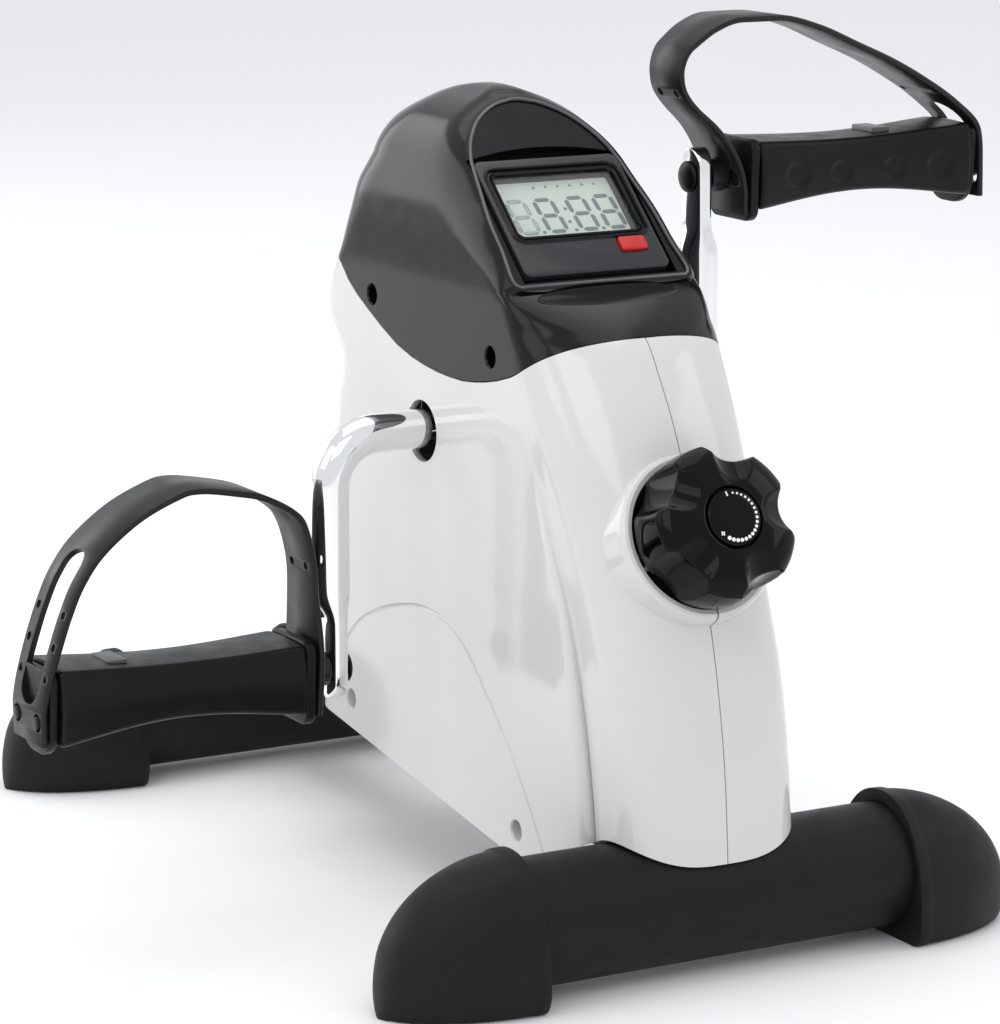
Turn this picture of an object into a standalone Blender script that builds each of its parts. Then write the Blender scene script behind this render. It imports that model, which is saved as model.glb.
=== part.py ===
"""Pedal exerciser: two feet, a frame with a friction brake, a housing, a console and two cranks.

Blender 4.5, metres, +Z up.  X is across the machine (the left pedal is at -X), -Y is the side that
the console and the tension knob face, and the origin is on the floor under the middle of the feet.
"""
import bpy
import bmesh
import numpy as np
from math import atan, cos, hypot, pi, radians, sin, sqrt
from mathutils import Matrix, Vector

# ---------------------------------------------------------------- driving dimensions (metres)
GAP = 0.0003                  # clearance between touching pieces
FOOT_Y = 0.181                # a foot tube's distance from the middle
FOOT_RADIUS = 0.025           # 50 mm steel tube
FOOT_Z = 0.0275               # centre height of a foot tube
FOOT_HALF = 0.100             # half the length of a foot tube
CAP_INNER = 0.0833            # where an end cap's rim starts
CAP_OUTER = 0.1408            # where it ends
CAP_HALF_WIDTH = 0.0315
CAP_HEIGHT = 0.0572
AXLE_Y = -0.037
AXLE_Z = 0.191
AXLE_RADIUS = 0.006
CRANK_RADIUS = 0.0945         # axle to pedal spindle
CRANK_X = 0.0864              # plane of a crank arm
CRANK_BAR = 0.008             # radius of the crank's bar
CRANK_BEND = 0.020            # bend radius on the bar's centre line
CRANK_FLAT = (0.0811, 0.0890)  # the flattened end, from inside to outside
SPINDLE_RADIUS = 0.005
PLATE_X = 0.020               # inner face of a frame plate
PLATE_THICKNESS = 0.003
DRUM_RADIUS = 0.045
DRUM_HALF = 0.014
WALL = 0.0024                 # moulded wall of the housing and the cover
HALF_WIDTH = 0.0445           # half the housing's width
SEAM = 0.00015                # half the gap between the housing halves
HOUSING_LOW = 0.022
HOUSING_TOP = 0.3266
CONSOLE_Y, CONSOLE_Z = -0.080, 0.280   # middle of the console's face
CONSOLE_SLOPE = 0.9           # rise over run of that face
CONSOLE_ANGLE = atan(CONSOLE_SLOPE)
KNOB_TILT = radians(25.5)     # the tension screw points up by this much
KNOB_FRONT = Vector((0.0, -0.2050, 0.1813))
KNOB_RADIUS = 0.0305
KNOB_LOBES = 5
BOSS_RADIUS = 0.0385
PEDAL_INNER, PEDAL_OUTER = 0.106, 0.211
PEDAL_DEPTH, PEDAL_HEIGHT = 0.0345, 0.0275
STRAP_WIDTH = 0.032
STRAP_THICKNESS = 0.0024
SCREW_HEAD = 0.0037
RECESS_RADIUS = 0.0045

# Housing outline, as (height, distance along Y or half width); values between are smooth.
FRONT = ((0.020, -0.2020), (0.045, -0.2009), (0.090, -0.1965), (0.139, -0.1854), (0.200, -0.1626),
         (0.239, -0.1369), (0.2545, -0.1090))
FRONT_CORNER = ((0.020, -0.1660), (0.051, -0.1634), (0.089, -0.1578), (0.127, -0.1514),
                (0.172, -0.1397), (0.200, -0.1300), (0.227, -0.1165), (0.2545, -0.1040))
REAR = ((0.020, 0.0680), (0.055, 0.0640), (0.178, 0.0493), (0.194, 0.0470), (0.209, 0.0431),
        (0.215, 0.0450), (0.224, 0.0522), (0.231, 0.0563), (0.241, 0.0520), (0.252, 0.0482),
        (0.269, 0.0470), (0.285, 0.0468), (0.292, 0.0444), (0.302, 0.0410), (0.311, 0.0336),
        (0.319, 0.0191), (0.324, 0.0060), (0.3266, -0.0150))
WIDTH = ((0.020, 0.0445), (0.250, 0.0445), (0.262, 0.0437), (0.275, 0.0426), (0.287, 0.0414),
         (0.301, 0.0378), (0.3065, 0.0348), (0.312, 0.0302), (0.3165, 0.0250), (0.320, 0.0190),
         (0.324, 0.0095), (0.3266, 0.0030))
GROOVE = ((0.020, 0.0070), (0.150, 0.0065), (0.200, 0.0030), (0.226, 0.0), (0.300, 0.0))
COLUMN_POWER = ((0.020, 3.0), (0.140, 2.9), (0.200, 2.5), (0.239, 2.3), (0.254, 4.0), (0.262, 7.0),
                (0.300, 7.0), (0.3266, 3.0))
# Edge between the cover and the housing in the YZ plane, from the rear to the front.
COVER_EDGE = ((0.0339, 0.2500), (0.0159, 0.2366), (-0.0185, 0.2215), (-0.0527, 0.2160),
              (-0.0858, 0.2172), (-0.1162, 0.2255), (-0.1369, 0.2390))
# The housing's lower edge rises towards the rear.
LOWER_EDGE = ((-0.114, 0.0306), (0.0534, 0.0552))

LEFT, RIGHT = -1, 1
SIDES = ((LEFT, "left"), (RIGHT, "right"))


# ---------------------------------------------------------------- scene and materials
def clear_scene():
    for item in list(bpy.data.objects):
        bpy.data.objects.remove(item, do_unlink=True)


def new_collection(name):
    group = bpy.data.collections.new(name)
    bpy.context.scene.collection.children.link(group)
    return group


clear_scene()
PARTS = new_collection("pedal_exerciser")
CUTTERS = new_collection("cutters")


def material(name, colour, roughness, metallic=0.0):
    made = bpy.data.materials.new(name)
    made.use_nodes = True
    shader = made.node_tree.nodes["Principled BSDF"]
    shader.inputs["Base Color"].default_value = (*colour, 1.0)
    shader.inputs["Roughness"].default_value = roughness
    shader.inputs["Metallic"].default_value = metallic
    made.diffuse_color = (*colour, 1.0)
    return made


WHITE = material("gloss_white_plastic", (0.82, 0.81, 0.80), 0.15)
BLACK_GLOSS = material("gloss_black_plastic", (0.012, 0.012, 0.014), 0.08)
BLACK_PAINT = material("black_powder_coat", (0.020, 0.021, 0.022), 0.50)
RUBBER = material("black_rubber", (0.022, 0.023, 0.024), 0.60)
PEDAL_BLACK = material("black_pedal_plastic", (0.025, 0.026, 0.027), 0.40)
CHROME = material("chrome", (0.80, 0.81, 0.82), 0.08, 1.0)
STEEL = material("zinc_steel", (0.55, 0.56, 0.58), 0.35, 1.0)
CAST_IRON = material("cast_iron", (0.18, 0.18, 0.19), 0.55, 0.8)
FELT = material("brake_felt", (0.30, 0.27, 0.22), 0.95)
BRASS = material("brass", (0.72, 0.55, 0.25), 0.30, 1.0)
MODULE_GREY = material("dark_grey_plastic", (0.055, 0.052, 0.062), 0.35)
LCD_GREEN = material("lcd_glass", (0.42, 0.47, 0.42), 0.20)
CLEAR = material("clear_window", (0.80, 0.82, 0.82), 0.05)
RED = material("red_button_plastic", (0.60, 0.03, 0.03), 0.35)
BOARD_GREEN = material("circuit_board", (0.03, 0.16, 0.07), 0.50)


# ---------------------------------------------------------------- shape helpers
def new_object(name, bm, look=None, smooth=True):
    """Makes an object from a bmesh: a part when it has a material, otherwise a cutter."""
    bmesh.ops.recalc_face_normals(bm, faces=bm.faces)
    mesh = bpy.data.meshes.new(name)
    bm.to_mesh(mesh)
    bm.free()
    made = bpy.data.objects.new(name, mesh)
    if look is None:
        CUTTERS.objects.link(made)
        made.hide_render = True
        made.display_type = "WIRE"
    else:
        PARTS.objects.link(made)
        mesh.materials.append(look)
    if smooth:
        mesh.shade_smooth()
        mesh.set_sharp_from_angle(angle=radians(35))
    return made


def along(axis):
    """Turns +Z onto an axis."""
    return Vector((0, 0, 1)).rotation_difference(Vector(axis)).to_matrix().to_4x4()


def cylinder(name, radius, start, end, look=None, sides=24, end_radius=None):
    """A cylinder, or a cone where end_radius is given, from one point to another."""
    start, end = Vector(start), Vector(end)
    bm = bmesh.new()
    place = Matrix.Translation((start + end) / 2) @ along(end - start)
    bmesh.ops.create_cone(bm, cap_ends=True, segments=sides, radius1=radius,
                          radius2=radius if end_radius is None else end_radius,
                          depth=(end - start).length, matrix=place)
    return new_object(name, bm, look)


def box(name, size, centre, look=None, turn=None, bevel=0.0):
    bm = bmesh.new()
    place = Matrix.Translation(centre)
    if turn is not None:
        place = place @ turn
    bmesh.ops.create_cube(bm, size=1.0, matrix=place @ Matrix.Diagonal((*size, 1.0)))
    made = new_object(name, bm, look)
    if bevel:
        add_bevel(made, bevel)
    return made


def add_bevel(target, width, segments=2, angle=40):
    mod = target.modifiers.new("bevel", "BEVEL")
    mod.width = width
    mod.segments = segments
    mod.limit_method = "ANGLE"
    mod.angle_limit = radians(angle)


def turned(name, profile, place, look, steps=24, ring=False):
    """Turns a profile of (radius, height) about local Z; a ring's profile is a closed loop."""
    bm = bmesh.new()
    points = [bm.verts.new((radius, 0, height)) for radius, height in profile]
    for first, second in zip(points, points[1:]):
        bm.edges.new((first, second))
    if ring:
        bm.edges.new((points[-1], points[0]))
    mesh = bpy.data.meshes.new(name)
    bm.to_mesh(mesh)
    bm.free()
    mesh.materials.append(look)
    made = bpy.data.objects.new(name, mesh)
    PARTS.objects.link(made)
    made.matrix_world = place
    mod = made.modifiers.new("turn", "SCREW")
    mod.steps = steps
    mod.render_steps = steps
    mod.use_merge_vertices = True
    mod.merge_threshold = 0.00005
    mod.use_smooth_shade = True
    return made


def loft(name, rings, look=None):
    """A closed skin through rings of equal length, closed by a face at both ends."""
    bm = bmesh.new()
    rows = [[bm.verts.new(point) for point in ring] for ring in rings]
    count = len(rows[0])
    for low, high in zip(rows, rows[1:]):
        for i in range(count):
            j = (i + 1) % count
            bm.faces.new((low[i], low[j], high[j], high[i]))
    bm.faces.new(rows[0])
    bm.faces.new(rows[-1])
    bmesh.ops.triangulate(bm, faces=bm.faces)
    return new_object(name, bm, look)


def slab(name, outline, low, high, look=None):
    """A flat outline in the YZ plane, given thickness along X."""
    return loft(name, [[(x, y, z) for y, z in outline] for x in (low, high)], look)


def boolean(target, operation, others):
    for other in others:
        mod = target.modifiers.new(operation.lower(), "BOOLEAN")
        mod.operation = operation
        mod.solver = "EXACT"
        mod.object = other
        if other.name not in CUTTERS.objects:
            for group in list(other.users_collection):
                group.objects.unlink(other)
            CUTTERS.objects.link(other)
        other.hide_render = True
        other.display_type = "WIRE"
    return target


def cut(target, *others):
    return boolean(target, "DIFFERENCE", others)


def add(target, *others):
    return boolean(target, "UNION", others)


def keep_inside(target, *others):
    return boolean(target, "INTERSECT", others)


def empty(name, place, parent=None):
    made = bpy.data.objects.new(name, None)
    PARTS.objects.link(made)
    made.empty_display_size = 0.02
    made.location = place
    if parent is not None:
        made.parent = parent
        made.matrix_parent_inverse = Matrix.Translation(parent.matrix_world.translation).inverted()
    bpy.context.view_layer.update()
    return made


def hang(parent, *children):
    """Parents pieces to a joint's empty without moving them."""
    bpy.context.view_layer.update()
    for child in children:
        child.parent = parent
        child.matrix_parent_inverse = parent.matrix_world.inverted()


def smooth_value(table, at):
    """A smooth curve through a table of (place, value)."""
    places = np.array([row[0] for row in table])
    values = np.array([row[1] for row in table])
    slopes = np.diff(values) / np.diff(places)
    bends = np.r_[slopes[0], (slopes[:-1] + slopes[1:]) / 2, slopes[-1]]
    bends[1:-1][slopes[:-1] * slopes[1:] <= 0] = 0.0
    k = int(np.clip(np.searchsorted(places, at) - 1, 0, len(slopes) - 1))
    span = places[k + 1] - places[k]
    t = min(max((at - places[k]) / span, 0.0), 1.0)
    return float((2 * t**3 - 3 * t**2 + 1) * values[k] + (t**3 - 2 * t**2 + t) * span * bends[k]
                 + (3 * t**2 - 2 * t**3) * values[k + 1] + (t**3 - t**2) * span * bends[k + 1])


# ---------------------------------------------------------------- housing form
def console_y(height):
    return CONSOLE_Y + (height - CONSOLE_Z) / CONSOLE_SLOPE


def housing_half_ring(height, inset, column_steps=6, rear_steps=3):
    """Half a level section of the housing, from the front middle to the rear middle."""
    dome = max(height - 0.25, 0.0) / (HOUSING_TOP - inset - 0.25)
    level = height if height < 0.25 else 0.25 + dome * (HOUSING_TOP - 0.25)
    width = max(smooth_value(WIDTH, level) - inset, 0.0006)
    rear = smooth_value(REAR, level) - inset
    groove = smooth_value(GROOVE, level)
    if level < 0.2545:
        front = smooth_value(FRONT, level) + inset
        corner = smooth_value(FRONT_CORNER, level) + inset
    else:
        front = console_y(height) + inset * hypot(1, CONSOLE_SLOPE) / CONSOLE_SLOPE
        corner = front + 0.004
    rear = max(rear, corner + 0.008)
    power = smooth_value(COLUMN_POWER, level)
    column = width - 0.6 * groove
    swing = corner - 1.6 * groove
    points = []
    for step in range(column_steps + 1):
        turn = pi / 2 * step / column_steps
        points.append((column * sin(turn) ** (2 / power),
                       swing + (front - swing) * max(cos(turn), 0.0) ** (2 / power)))
    points.append((width - groove, corner - 0.5 * groove + 0.0002))
    points.append((width - 0.3 * groove, corner + 0.0004))
    points.append((width, corner + 0.0035))
    radius = min(0.014 + 0.35 * max(level - 0.25, 0.0), width, (rear - corner) * 0.6)
    for step in range(rear_steps + 1):
        turn = pi / 2 * step / rear_steps
        points.append((width - radius + radius * cos(turn), rear - radius + radius * sin(turn)))
    points.append((0.0, rear))
    return points


OUTER_LEVELS = (0.022, 0.060, 0.100, 0.139, 0.172, 0.197, 0.210, 0.218, 0.226, 0.233, 0.254, 0.256,
                0.273, 0.288, 0.301, 0.311, 0.318, 0.323, HOUSING_TOP)
INNER_LEVELS = (0.022, 0.080, 0.139, 0.180, 0.209, 0.218, 0.230, 0.254, 0.256, 0.275, 0.295, 0.309,
                0.318, HOUSING_TOP)


def housing_form(name, inset, levels=OUTER_LEVELS, steps=(6, 3)):
    """The whole housing and cover as one solid, drawn in from the outside by inset."""
    rings = []
    for height in levels:
        height = min(height, HOUSING_TOP - inset)
        half = housing_half_ring(height, inset, *steps)
        ring = [(x, y, height) for x, y in half]
        ring += [(-x, y, height) for x, y in reversed(half[1:-1])]
        rings.append(ring)
    return loft(name, rings)


def edge_outline(edge, reach):
    """Closes an edge line in the YZ plane over the space above it."""
    front = (edge[-1][0] - 0.2, edge[-1][1] + 0.2 * 0.75)
    rear = (edge[0][0] + 0.2, edge[0][1] + 0.2 * 0.55)
    return [rear, *edge, front, (front[0], reach), (rear[0], reach)]


def smooth_edge(points, count):
    """Points of a smooth line through an edge that is given from rear to front."""
    table = [(-y, z) for y, z in points]
    places = np.linspace(table[0][0], table[-1][0], count)
    return [(-place, smooth_value(table, place)) for place in places]


def above_cover_edge(name, drop):
    edge = [(y, z - drop) for y, z in smooth_edge(COVER_EDGE, 11)]
    return slab(name, edge_outline(edge, 0.5), -0.1, 0.1)


def below_lower_edge(name):
    (front_y, front_z), (rear_y, rear_z) = LOWER_EDGE
    slope = (rear_z - front_z) / (rear_y - front_y)
    outline = [(-0.3, front_z + slope * (-0.3 - front_y)), (0.2, front_z + slope * (0.2 - front_y)),
               (0.2, -0.1), (-0.3, -0.1)]
    return slab(name, outline, -0.1, 0.1)


def knob_axis():
    """Unit vector along the tension screw, from inside to the user."""
    return Vector((0.0, -cos(KNOB_TILT), sin(KNOB_TILT)))


def knob_point(depth):
    """A point on the screw's axis, depth behind the knob's front."""
    return KNOB_FRONT - knob_axis() * depth


def screw_place(side, y, z, x):
    return Matrix.Translation((side * x, y, z)) @ along((side, 0, 0))


HOUSING_SCREWS = ((LEFT, -0.1149, 0.0421), (LEFT, 0.0278, 0.0640), (RIGHT, -0.1149, 0.0421),
                  (RIGHT, 0.0278, 0.0640))
COVER_SCREWS = ((LEFT, 0.006, 0.2400), (LEFT, -0.0939, 0.2285), (RIGHT, 0.006, 0.2400),
                (RIGHT, -0.0939, 0.2285))
SCREW_DEPTH = 0.0070


def add_screw_bosses(shell, screws):
    """A deep round recess with a floor, where a screw's head sits."""
    for side, y, z in screws:
        tag = f"{shell.name}_{side}_{round(y * 1e4)}"
        outer = side * (HALF_WIDTH - 0.0006)
        boss = cylinder(f"boss_{tag}", RECESS_RADIUS + 0.0016, (outer, y, z),
                        (outer - side * 0.0125, y, z), sides=12)
        add(shell, boss)
        bore = cylinder(f"recess_{tag}", RECESS_RADIUS, (side * 0.05, y, z),
                        (side * (HALF_WIDTH - SCREW_DEPTH - 0.0026), y, z), sides=12)
        pilot = cylinder(f"pilot_{tag}", 0.0020, (side * 0.05, y, z), (side * 0.028, y, z), sides=6)
        cut(shell, bore, pilot)


def self_tapping_screw(name, side, y, z, look=STEEL):
    """A pan-head screw that lies in its recess, its head towards the outside."""
    head = 0.0022
    place = screw_place(side, y, z, HALF_WIDTH - SCREW_DEPTH - 0.0023)
    profile = ((0.0, head), (SCREW_HEAD * 0.75, head * 0.9), (SCREW_HEAD, 0.0), (0.0017, 0.0),
               (0.0017, -0.0085), (0.0, -0.0085))
    return turned(name, profile, place, look, steps=12)


def make_housing():
    """Two white half shells that meet on the middle plane."""
    above = above_cover_edge("above_cover_edge", 0.0)
    below = below_lower_edge("below_lower_edge")
    outer = housing_form("housing_outer_form", 0.0)
    inner = housing_form("housing_inner_form", WALL, INNER_LEVELS, (4, 2))
    front_tube = cylinder("front_tube_clearance", FOOT_RADIUS + GAP, (-0.1, -FOOT_Y, FOOT_Z),
                          (0.1, -FOOT_Y, FOOT_Z), sides=48)
    beam = box("beam_clearance", (0.0406, 0.4475, 0.0266), (0, 0.0263, 0.0505))
    screw_hole = cylinder("tension_screw_hole", 0.0075, knob_point(0.0), knob_point(0.09), sides=20)
    boss = cylinder("knob_boss", BOSS_RADIUS + 0.004, knob_point(0.0600), knob_point(0.0305), sides=32,
                    end_radius=BOSS_RADIUS)
    boss_hollow = cylinder("knob_boss_hollow", BOSS_RADIUS - 0.002, knob_point(0.0610),
                           knob_point(0.0332), sides=24)
    crank_hole = cylinder("crank_hole", 0.01265, (-0.1, AXLE_Y, AXLE_Z), (0.1, AXLE_Y, AXLE_Z))
    reach = Vector((0.10, 0.40, 0.42))
    for side, word in SIDES:
        half = box(f"housing_{word}", reach, (side * (reach.x / 2 + SEAM), -0.05, 0.18), WHITE)
        form = outer.copy()
        form.name = f"housing_form_{word}"
        CUTTERS.objects.link(form)
        add(form, boss)
        cut(form, inner, boss_hollow)
        keep_inside(half, form)
        cut(half, above, below, front_tube, beam, screw_hole, crank_hole)
        add_screw_bosses(half, [row for row in HOUSING_SCREWS if row[0] == side])
    for side, y, z in HOUSING_SCREWS:
        place = "front" if y < 0 else "rear"
        self_tapping_screw(f"housing_screw_{place}_{'left' if side < 0 else 'right'}", side, y, z)


# ---------------------------------------------------------------- cover and console
def console_matrix(lift=0.0):
    """Local X across, local Y up the slope, local Z out of the console's face."""
    turn = Matrix.Rotation(CONSOLE_ANGLE, 4, "X")
    return Matrix.Translation((0, CONSOLE_Y, CONSOLE_Z)) @ turn @ Matrix.Translation((0, 0, lift))


MODULE = (0.0660, 0.0600)      # the display module's width and its length up the slope
WINDOW = (0.0580, 0.0355)
WINDOW_UP = 0.0065             # the window's middle, up the slope
BUTTON = (0.0120, 0.0068)
BUTTON_AT = (0.0200, -0.0178)
CASE_DEPTH = 0.0150


def console_box(name, size, centre, look=None, bevel=0.0):
    """A box square to the console: size and centre are in the console's own axes."""
    made = box(name, size, centre, look)
    made.data.transform(console_matrix())
    if bevel:
        add_bevel(made, bevel)
    return made


def console_plate(name, size, radius, centre, look=None):
    """A plate with rounded corners, square to the console."""
    rings = []
    for level in (-0.5, 0.5):
        ring = []
        for sx, sy, first in ((1, 1, 0), (-1, 1, 90), (-1, -1, 180), (1, -1, 270)):
            middle = (sx * (size[0] / 2 - radius), sy * (size[1] / 2 - radius))
            for step in range(5):
                turn = radians(first + 22.5 * step)
                place = (centre[0] + middle[0] + radius * cos(turn),
                         centre[1] + middle[1] + radius * sin(turn), centre[2] + level * size[2])
                ring.append(console_matrix() @ Vector(place))
        rings.append(ring)
    return loft(name, rings, look)


def make_cover():
    cover = housing_form("top_cover", 0.0)
    cover.hide_render = False
    cover.display_type = "TEXTURED"
    CUTTERS.objects.unlink(cover)
    PARTS.objects.link(cover)
    cover.data.materials.append(BLACK_GLOSS)
    hollow = housing_form("cover_inner_form", WALL, INNER_LEVELS, (4, 2))
    space = slab("below_cover_edge",
                 [*[(y, z + GAP) for y, z in smooth_edge(COVER_EDGE, 11)], (-0.337, 0.389),
                  (-0.337, -0.1), (0.234, -0.1), (0.234, 0.360)], -0.1, 0.1)
    opening = console_box("module_opening", (MODULE[0] + 2 * GAP, MODULE[1] + 2 * GAP, 0.03),
                          (0, 0, 0))
    cut(cover, hollow, space, opening)
    add_screw_bosses(cover, COVER_SCREWS)
    for side, y, z in COVER_SCREWS:
        place = "front" if y < 0 else "rear"
        self_tapping_screw(f"cover_screw_{place}_{'left' if side < 0 else 'right'}", side, y, z,
                           BLACK_PAINT)


def make_display():
    """The display module: a tray with a case behind it, glass, window, board, cell and button."""
    bezel = console_plate("module_bezel", (*MODULE, 0.0042), 0.002, (0, 0, -0.0023), MODULE_GREY)
    window = console_plate("window_cut", (*WINDOW, 0.02), 0.0045, (0, WINDOW_UP, 0))
    button_hole = console_box("button_cut", (BUTTON[0] + 2 * GAP, BUTTON[1] + 2 * GAP, 0.02),
                              (*BUTTON_AT, 0))
    cut(bezel, window, button_hole)
    case = console_box("module_case", (MODULE[0] - 0.004, MODULE[1] - 0.004, CASE_DEPTH),
                       (0, 0, -0.0048 - CASE_DEPTH / 2), MODULE_GREY)
    hollow = console_box("case_hollow", (MODULE[0] - 0.008, MODULE[1] - 0.008, CASE_DEPTH),
                         (0, 0, -0.0048 - CASE_DEPTH / 2 + 0.002))
    lead_hole = console_box("case_lead_hole", (0.005, 0.005, 0.01), (0.0, -0.018, -0.0190))
    cut(case, hollow, lead_hole)
    console_plate("window_lens", (WINDOW[0] - 2 * GAP, WINDOW[1] - 2 * GAP, 0.0012), 0.0045,
                  (0, WINDOW_UP, -0.0016), CLEAR)
    console_box("lcd_screen", (0.0574, 0.0370, 0.0014), (0, WINDOW_UP, -0.0055), LCD_GREEN)
    console_box("circuit_board", (0.0560, 0.0500, 0.0016), (0, 0, -0.0088), BOARD_GREEN)
    cell = turned("button_cell", ((0.0, 0.0026), (0.0048, 0.0026), (0.0058, 0.0018),
                                  (0.0058, -0.0026), (0.0, -0.0026)),
                  console_matrix() @ Matrix.Translation((-0.012, -0.012, -0.0130)), STEEL, steps=20)
    button = console_box("mode_button", (BUTTON[0], BUTTON[1], 0.0060), (*BUTTON_AT, -0.0020), RED,
                         0.0009)
    travel = empty("button_axis", console_matrix() @ Vector((*BUTTON_AT, 0)))
    hang(travel, button)
    return cell


# ---------------------------------------------------------------- feet and frame
def foot_cap(name, side, y_middle):
    """A rubber cap: a quarter dome with a flat sole, open on its inner side for the tube."""
    length = CAP_OUTER - CAP_INNER
    rings = []
    for share in (0.0, 0.12, 0.35, 0.58, 0.76, 0.90, 0.98, 1.0):
        fall = sqrt(max(1 - share**2.1, 0.0))
        spread = max(1 - share**2.6, 0.0) ** (1 / 2.2)
        top = CAP_HEIGHT * (0.12 + 0.88 * fall)
        half = CAP_HALF_WIDTH * (0.10 + 0.90 * spread)
        middle = min(FOOT_Z, top * 0.5)
        x = side * (CAP_INNER + length * share)
        ring = [(x, y_middle + half * 0.93, 0.0), (x, y_middle + half, 0.0025)]
        for step in range(9):
            turn = pi * step / 8
            ring.append((x, y_middle + half * cos(turn), middle + (top - middle) * sin(turn)))
        ring += [(x, y_middle - half, 0.0025), (x, y_middle - half * 0.93, 0.0)]
        rings.append(ring)
    cap = loft(name, rings, RUBBER)
    bore = cylinder(f"{name}_bore", FOOT_RADIUS + GAP, (side * (CAP_INNER - 0.02), y_middle, FOOT_Z),
                    (side * (FOOT_HALF + GAP), y_middle, FOOT_Z), sides=24)
    return cut(cap, bore)


def make_feet():
    for y, word in ((-FOOT_Y, "front"), (FOOT_Y, "rear")):
        tube = cylinder(f"{word}_foot_tube", FOOT_RADIUS, (-FOOT_HALF, y, FOOT_Z),
                        (FOOT_HALF, y, FOOT_Z), BLACK_PAINT, sides=28)
        inside = cylinder(f"{word}_tube_inside", FOOT_RADIUS - 0.002, (-0.13, y, FOOT_Z),
                          (0.13, y, FOOT_Z), sides=20)
        bolt_hole = cylinder(f"{word}_bolt_hole", 0.0034, (0, y, -0.01), (0, y, 0.08), sides=12)
        cut(tube, inside, bolt_hole)
        for side, hand in SIDES:
            foot_cap(f"end_cap_{word}_{hand}", side, y)


BEAM_WIDTH, BEAM_LOW, BEAM_HIGH = 0.040, 0.0380, 0.0580
SADDLE_THICKNESS = 0.0025


def saddle(name, y):
    """A curved plate over the top of a foot tube, as wide as the beam."""
    outline = []
    for radius, turns in ((FOOT_RADIUS + GAP + SADDLE_THICKNESS, range(7)),
                          (FOOT_RADIUS + GAP, range(6, -1, -1))):
        for step in turns:
            angle = radians(58 + 64 * step / 6)
            outline.append((y + radius * cos(angle), FOOT_Z + radius * sin(angle)))
    return slab(name, outline, -BEAM_WIDTH / 2, BEAM_WIDTH / 2)


def make_frame():
    """The beam between the feet with its saddles, and two plates that carry the axle."""
    beam = box("frame_beam", (BEAM_WIDTH, 2 * (FOOT_Y - 0.0100), BEAM_HIGH - BEAM_LOW),
               (0, 0, (BEAM_LOW + BEAM_HIGH) / 2), BLACK_PAINT)
    for y in (-FOOT_Y, FOOT_Y):
        cut(beam, cylinder(f"beam_end_{round(y * 1e3)}", FOOT_RADIUS + GAP, (-0.05, y, FOOT_Z),
                           (0.05, y, FOOT_Z), sides=32))
    add(beam, saddle("front_saddle", -FOOT_Y), saddle("rear_saddle", FOOT_Y))
    inside = box("beam_inside", (BEAM_WIDTH - 0.004, 0.304, BEAM_HIGH - BEAM_LOW - 0.004),
                 (0, 0, (BEAM_LOW + BEAM_HIGH) / 2))
    drain = cylinder("beam_drain_hole", 0.004, (0, 0.09, 0.02), (0, 0.09, 0.045), sides=16)
    holes = [cylinder(f"saddle_hole_{round(y * 1e3)}", 0.0034, (0, y, 0.045), (0, y, 0.07), sides=12)
             for y in (-FOOT_Y, FOOT_Y)]
    cut(beam, inside, drain, *holes)
    for y, word in ((-FOOT_Y, "front"), (FOOT_Y, "rear")):
        top = FOOT_Z + FOOT_RADIUS + SADDLE_THICKNESS + 2 * GAP
        turned(f"foot_bolt_{word}", ((0.0, 0.0040), (0.0035, 0.0036), (0.0062, 0.0016), (0.0068, 0.0),
                                     (0.0030, 0.0), (0.0030, -0.0200), (0.0, -0.0200)),
               Matrix.Translation((0, y, top)), STEEL, steps=12)
    make_plates()


def make_plates():
    foot = BEAM_HIGH + GAP
    outline = [(AXLE_Y - 0.045, foot), (AXLE_Y + 0.045, foot), (AXLE_Y + 0.045, foot + 0.012),
               (AXLE_Y + 0.018, AXLE_Z - 0.012), (AXLE_Y + 0.016, AXLE_Z + 0.010),
               (AXLE_Y + 0.008, AXLE_Z + 0.019), (AXLE_Y - 0.008, AXLE_Z + 0.019),
               (AXLE_Y - 0.016, AXLE_Z + 0.010), (AXLE_Y - 0.018, AXLE_Z - 0.012),
               (AXLE_Y - 0.045, foot + 0.012)]
    for side, word in SIDES:
        low, high = sorted((side * (PLATE_X - PLATE_THICKNESS), side * PLATE_X))
        plate = slab(f"frame_plate_{word}", outline, low, high, BLACK_PAINT)
        seat = cylinder(f"bearing_seat_{word}", 0.0143, (side * 0.01, AXLE_Y, AXLE_Z),
                        (side * 0.03, AXLE_Y, AXLE_Z), sides=32)
        anchor = cylinder(f"anchor_hole_{word}", 0.0033, (side * 0.01, *ANCHOR),
                          (side * 0.03, *ANCHOR), sides=16)
        cut(plate, seat, anchor)
        bearing(word, side)


ANCHOR = (AXLE_Y + 0.030, 0.088)    # the pin that holds the brake band's fixed end


def bearing(word, side):
    """A flanged bearing: its flange rests on the plate's outer side."""
    outer, inner = 0.0140, AXLE_RADIUS + GAP
    profile = ((inner, 0.0055), (inner, -0.0035), (outer, -0.0035), (outer, GAP), (0.0165, GAP),
               (0.0165, 0.0023), (outer, 0.0023), (0.0125, 0.0055))
    place = Matrix.Translation((side * PLATE_X, AXLE_Y, AXLE_Z)) @ along((side, 0, 0))
    turned(f"bearing_{word}", tuple(reversed(profile)), place, STEEL, steps=20, ring=True)


# ---------------------------------------------------------------- cranks, axle and brake
CRANK_START = 0.0265          # inner end of a crank bar
SOCKET_END = 0.0360           # how far out the axle reaches into it


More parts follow.
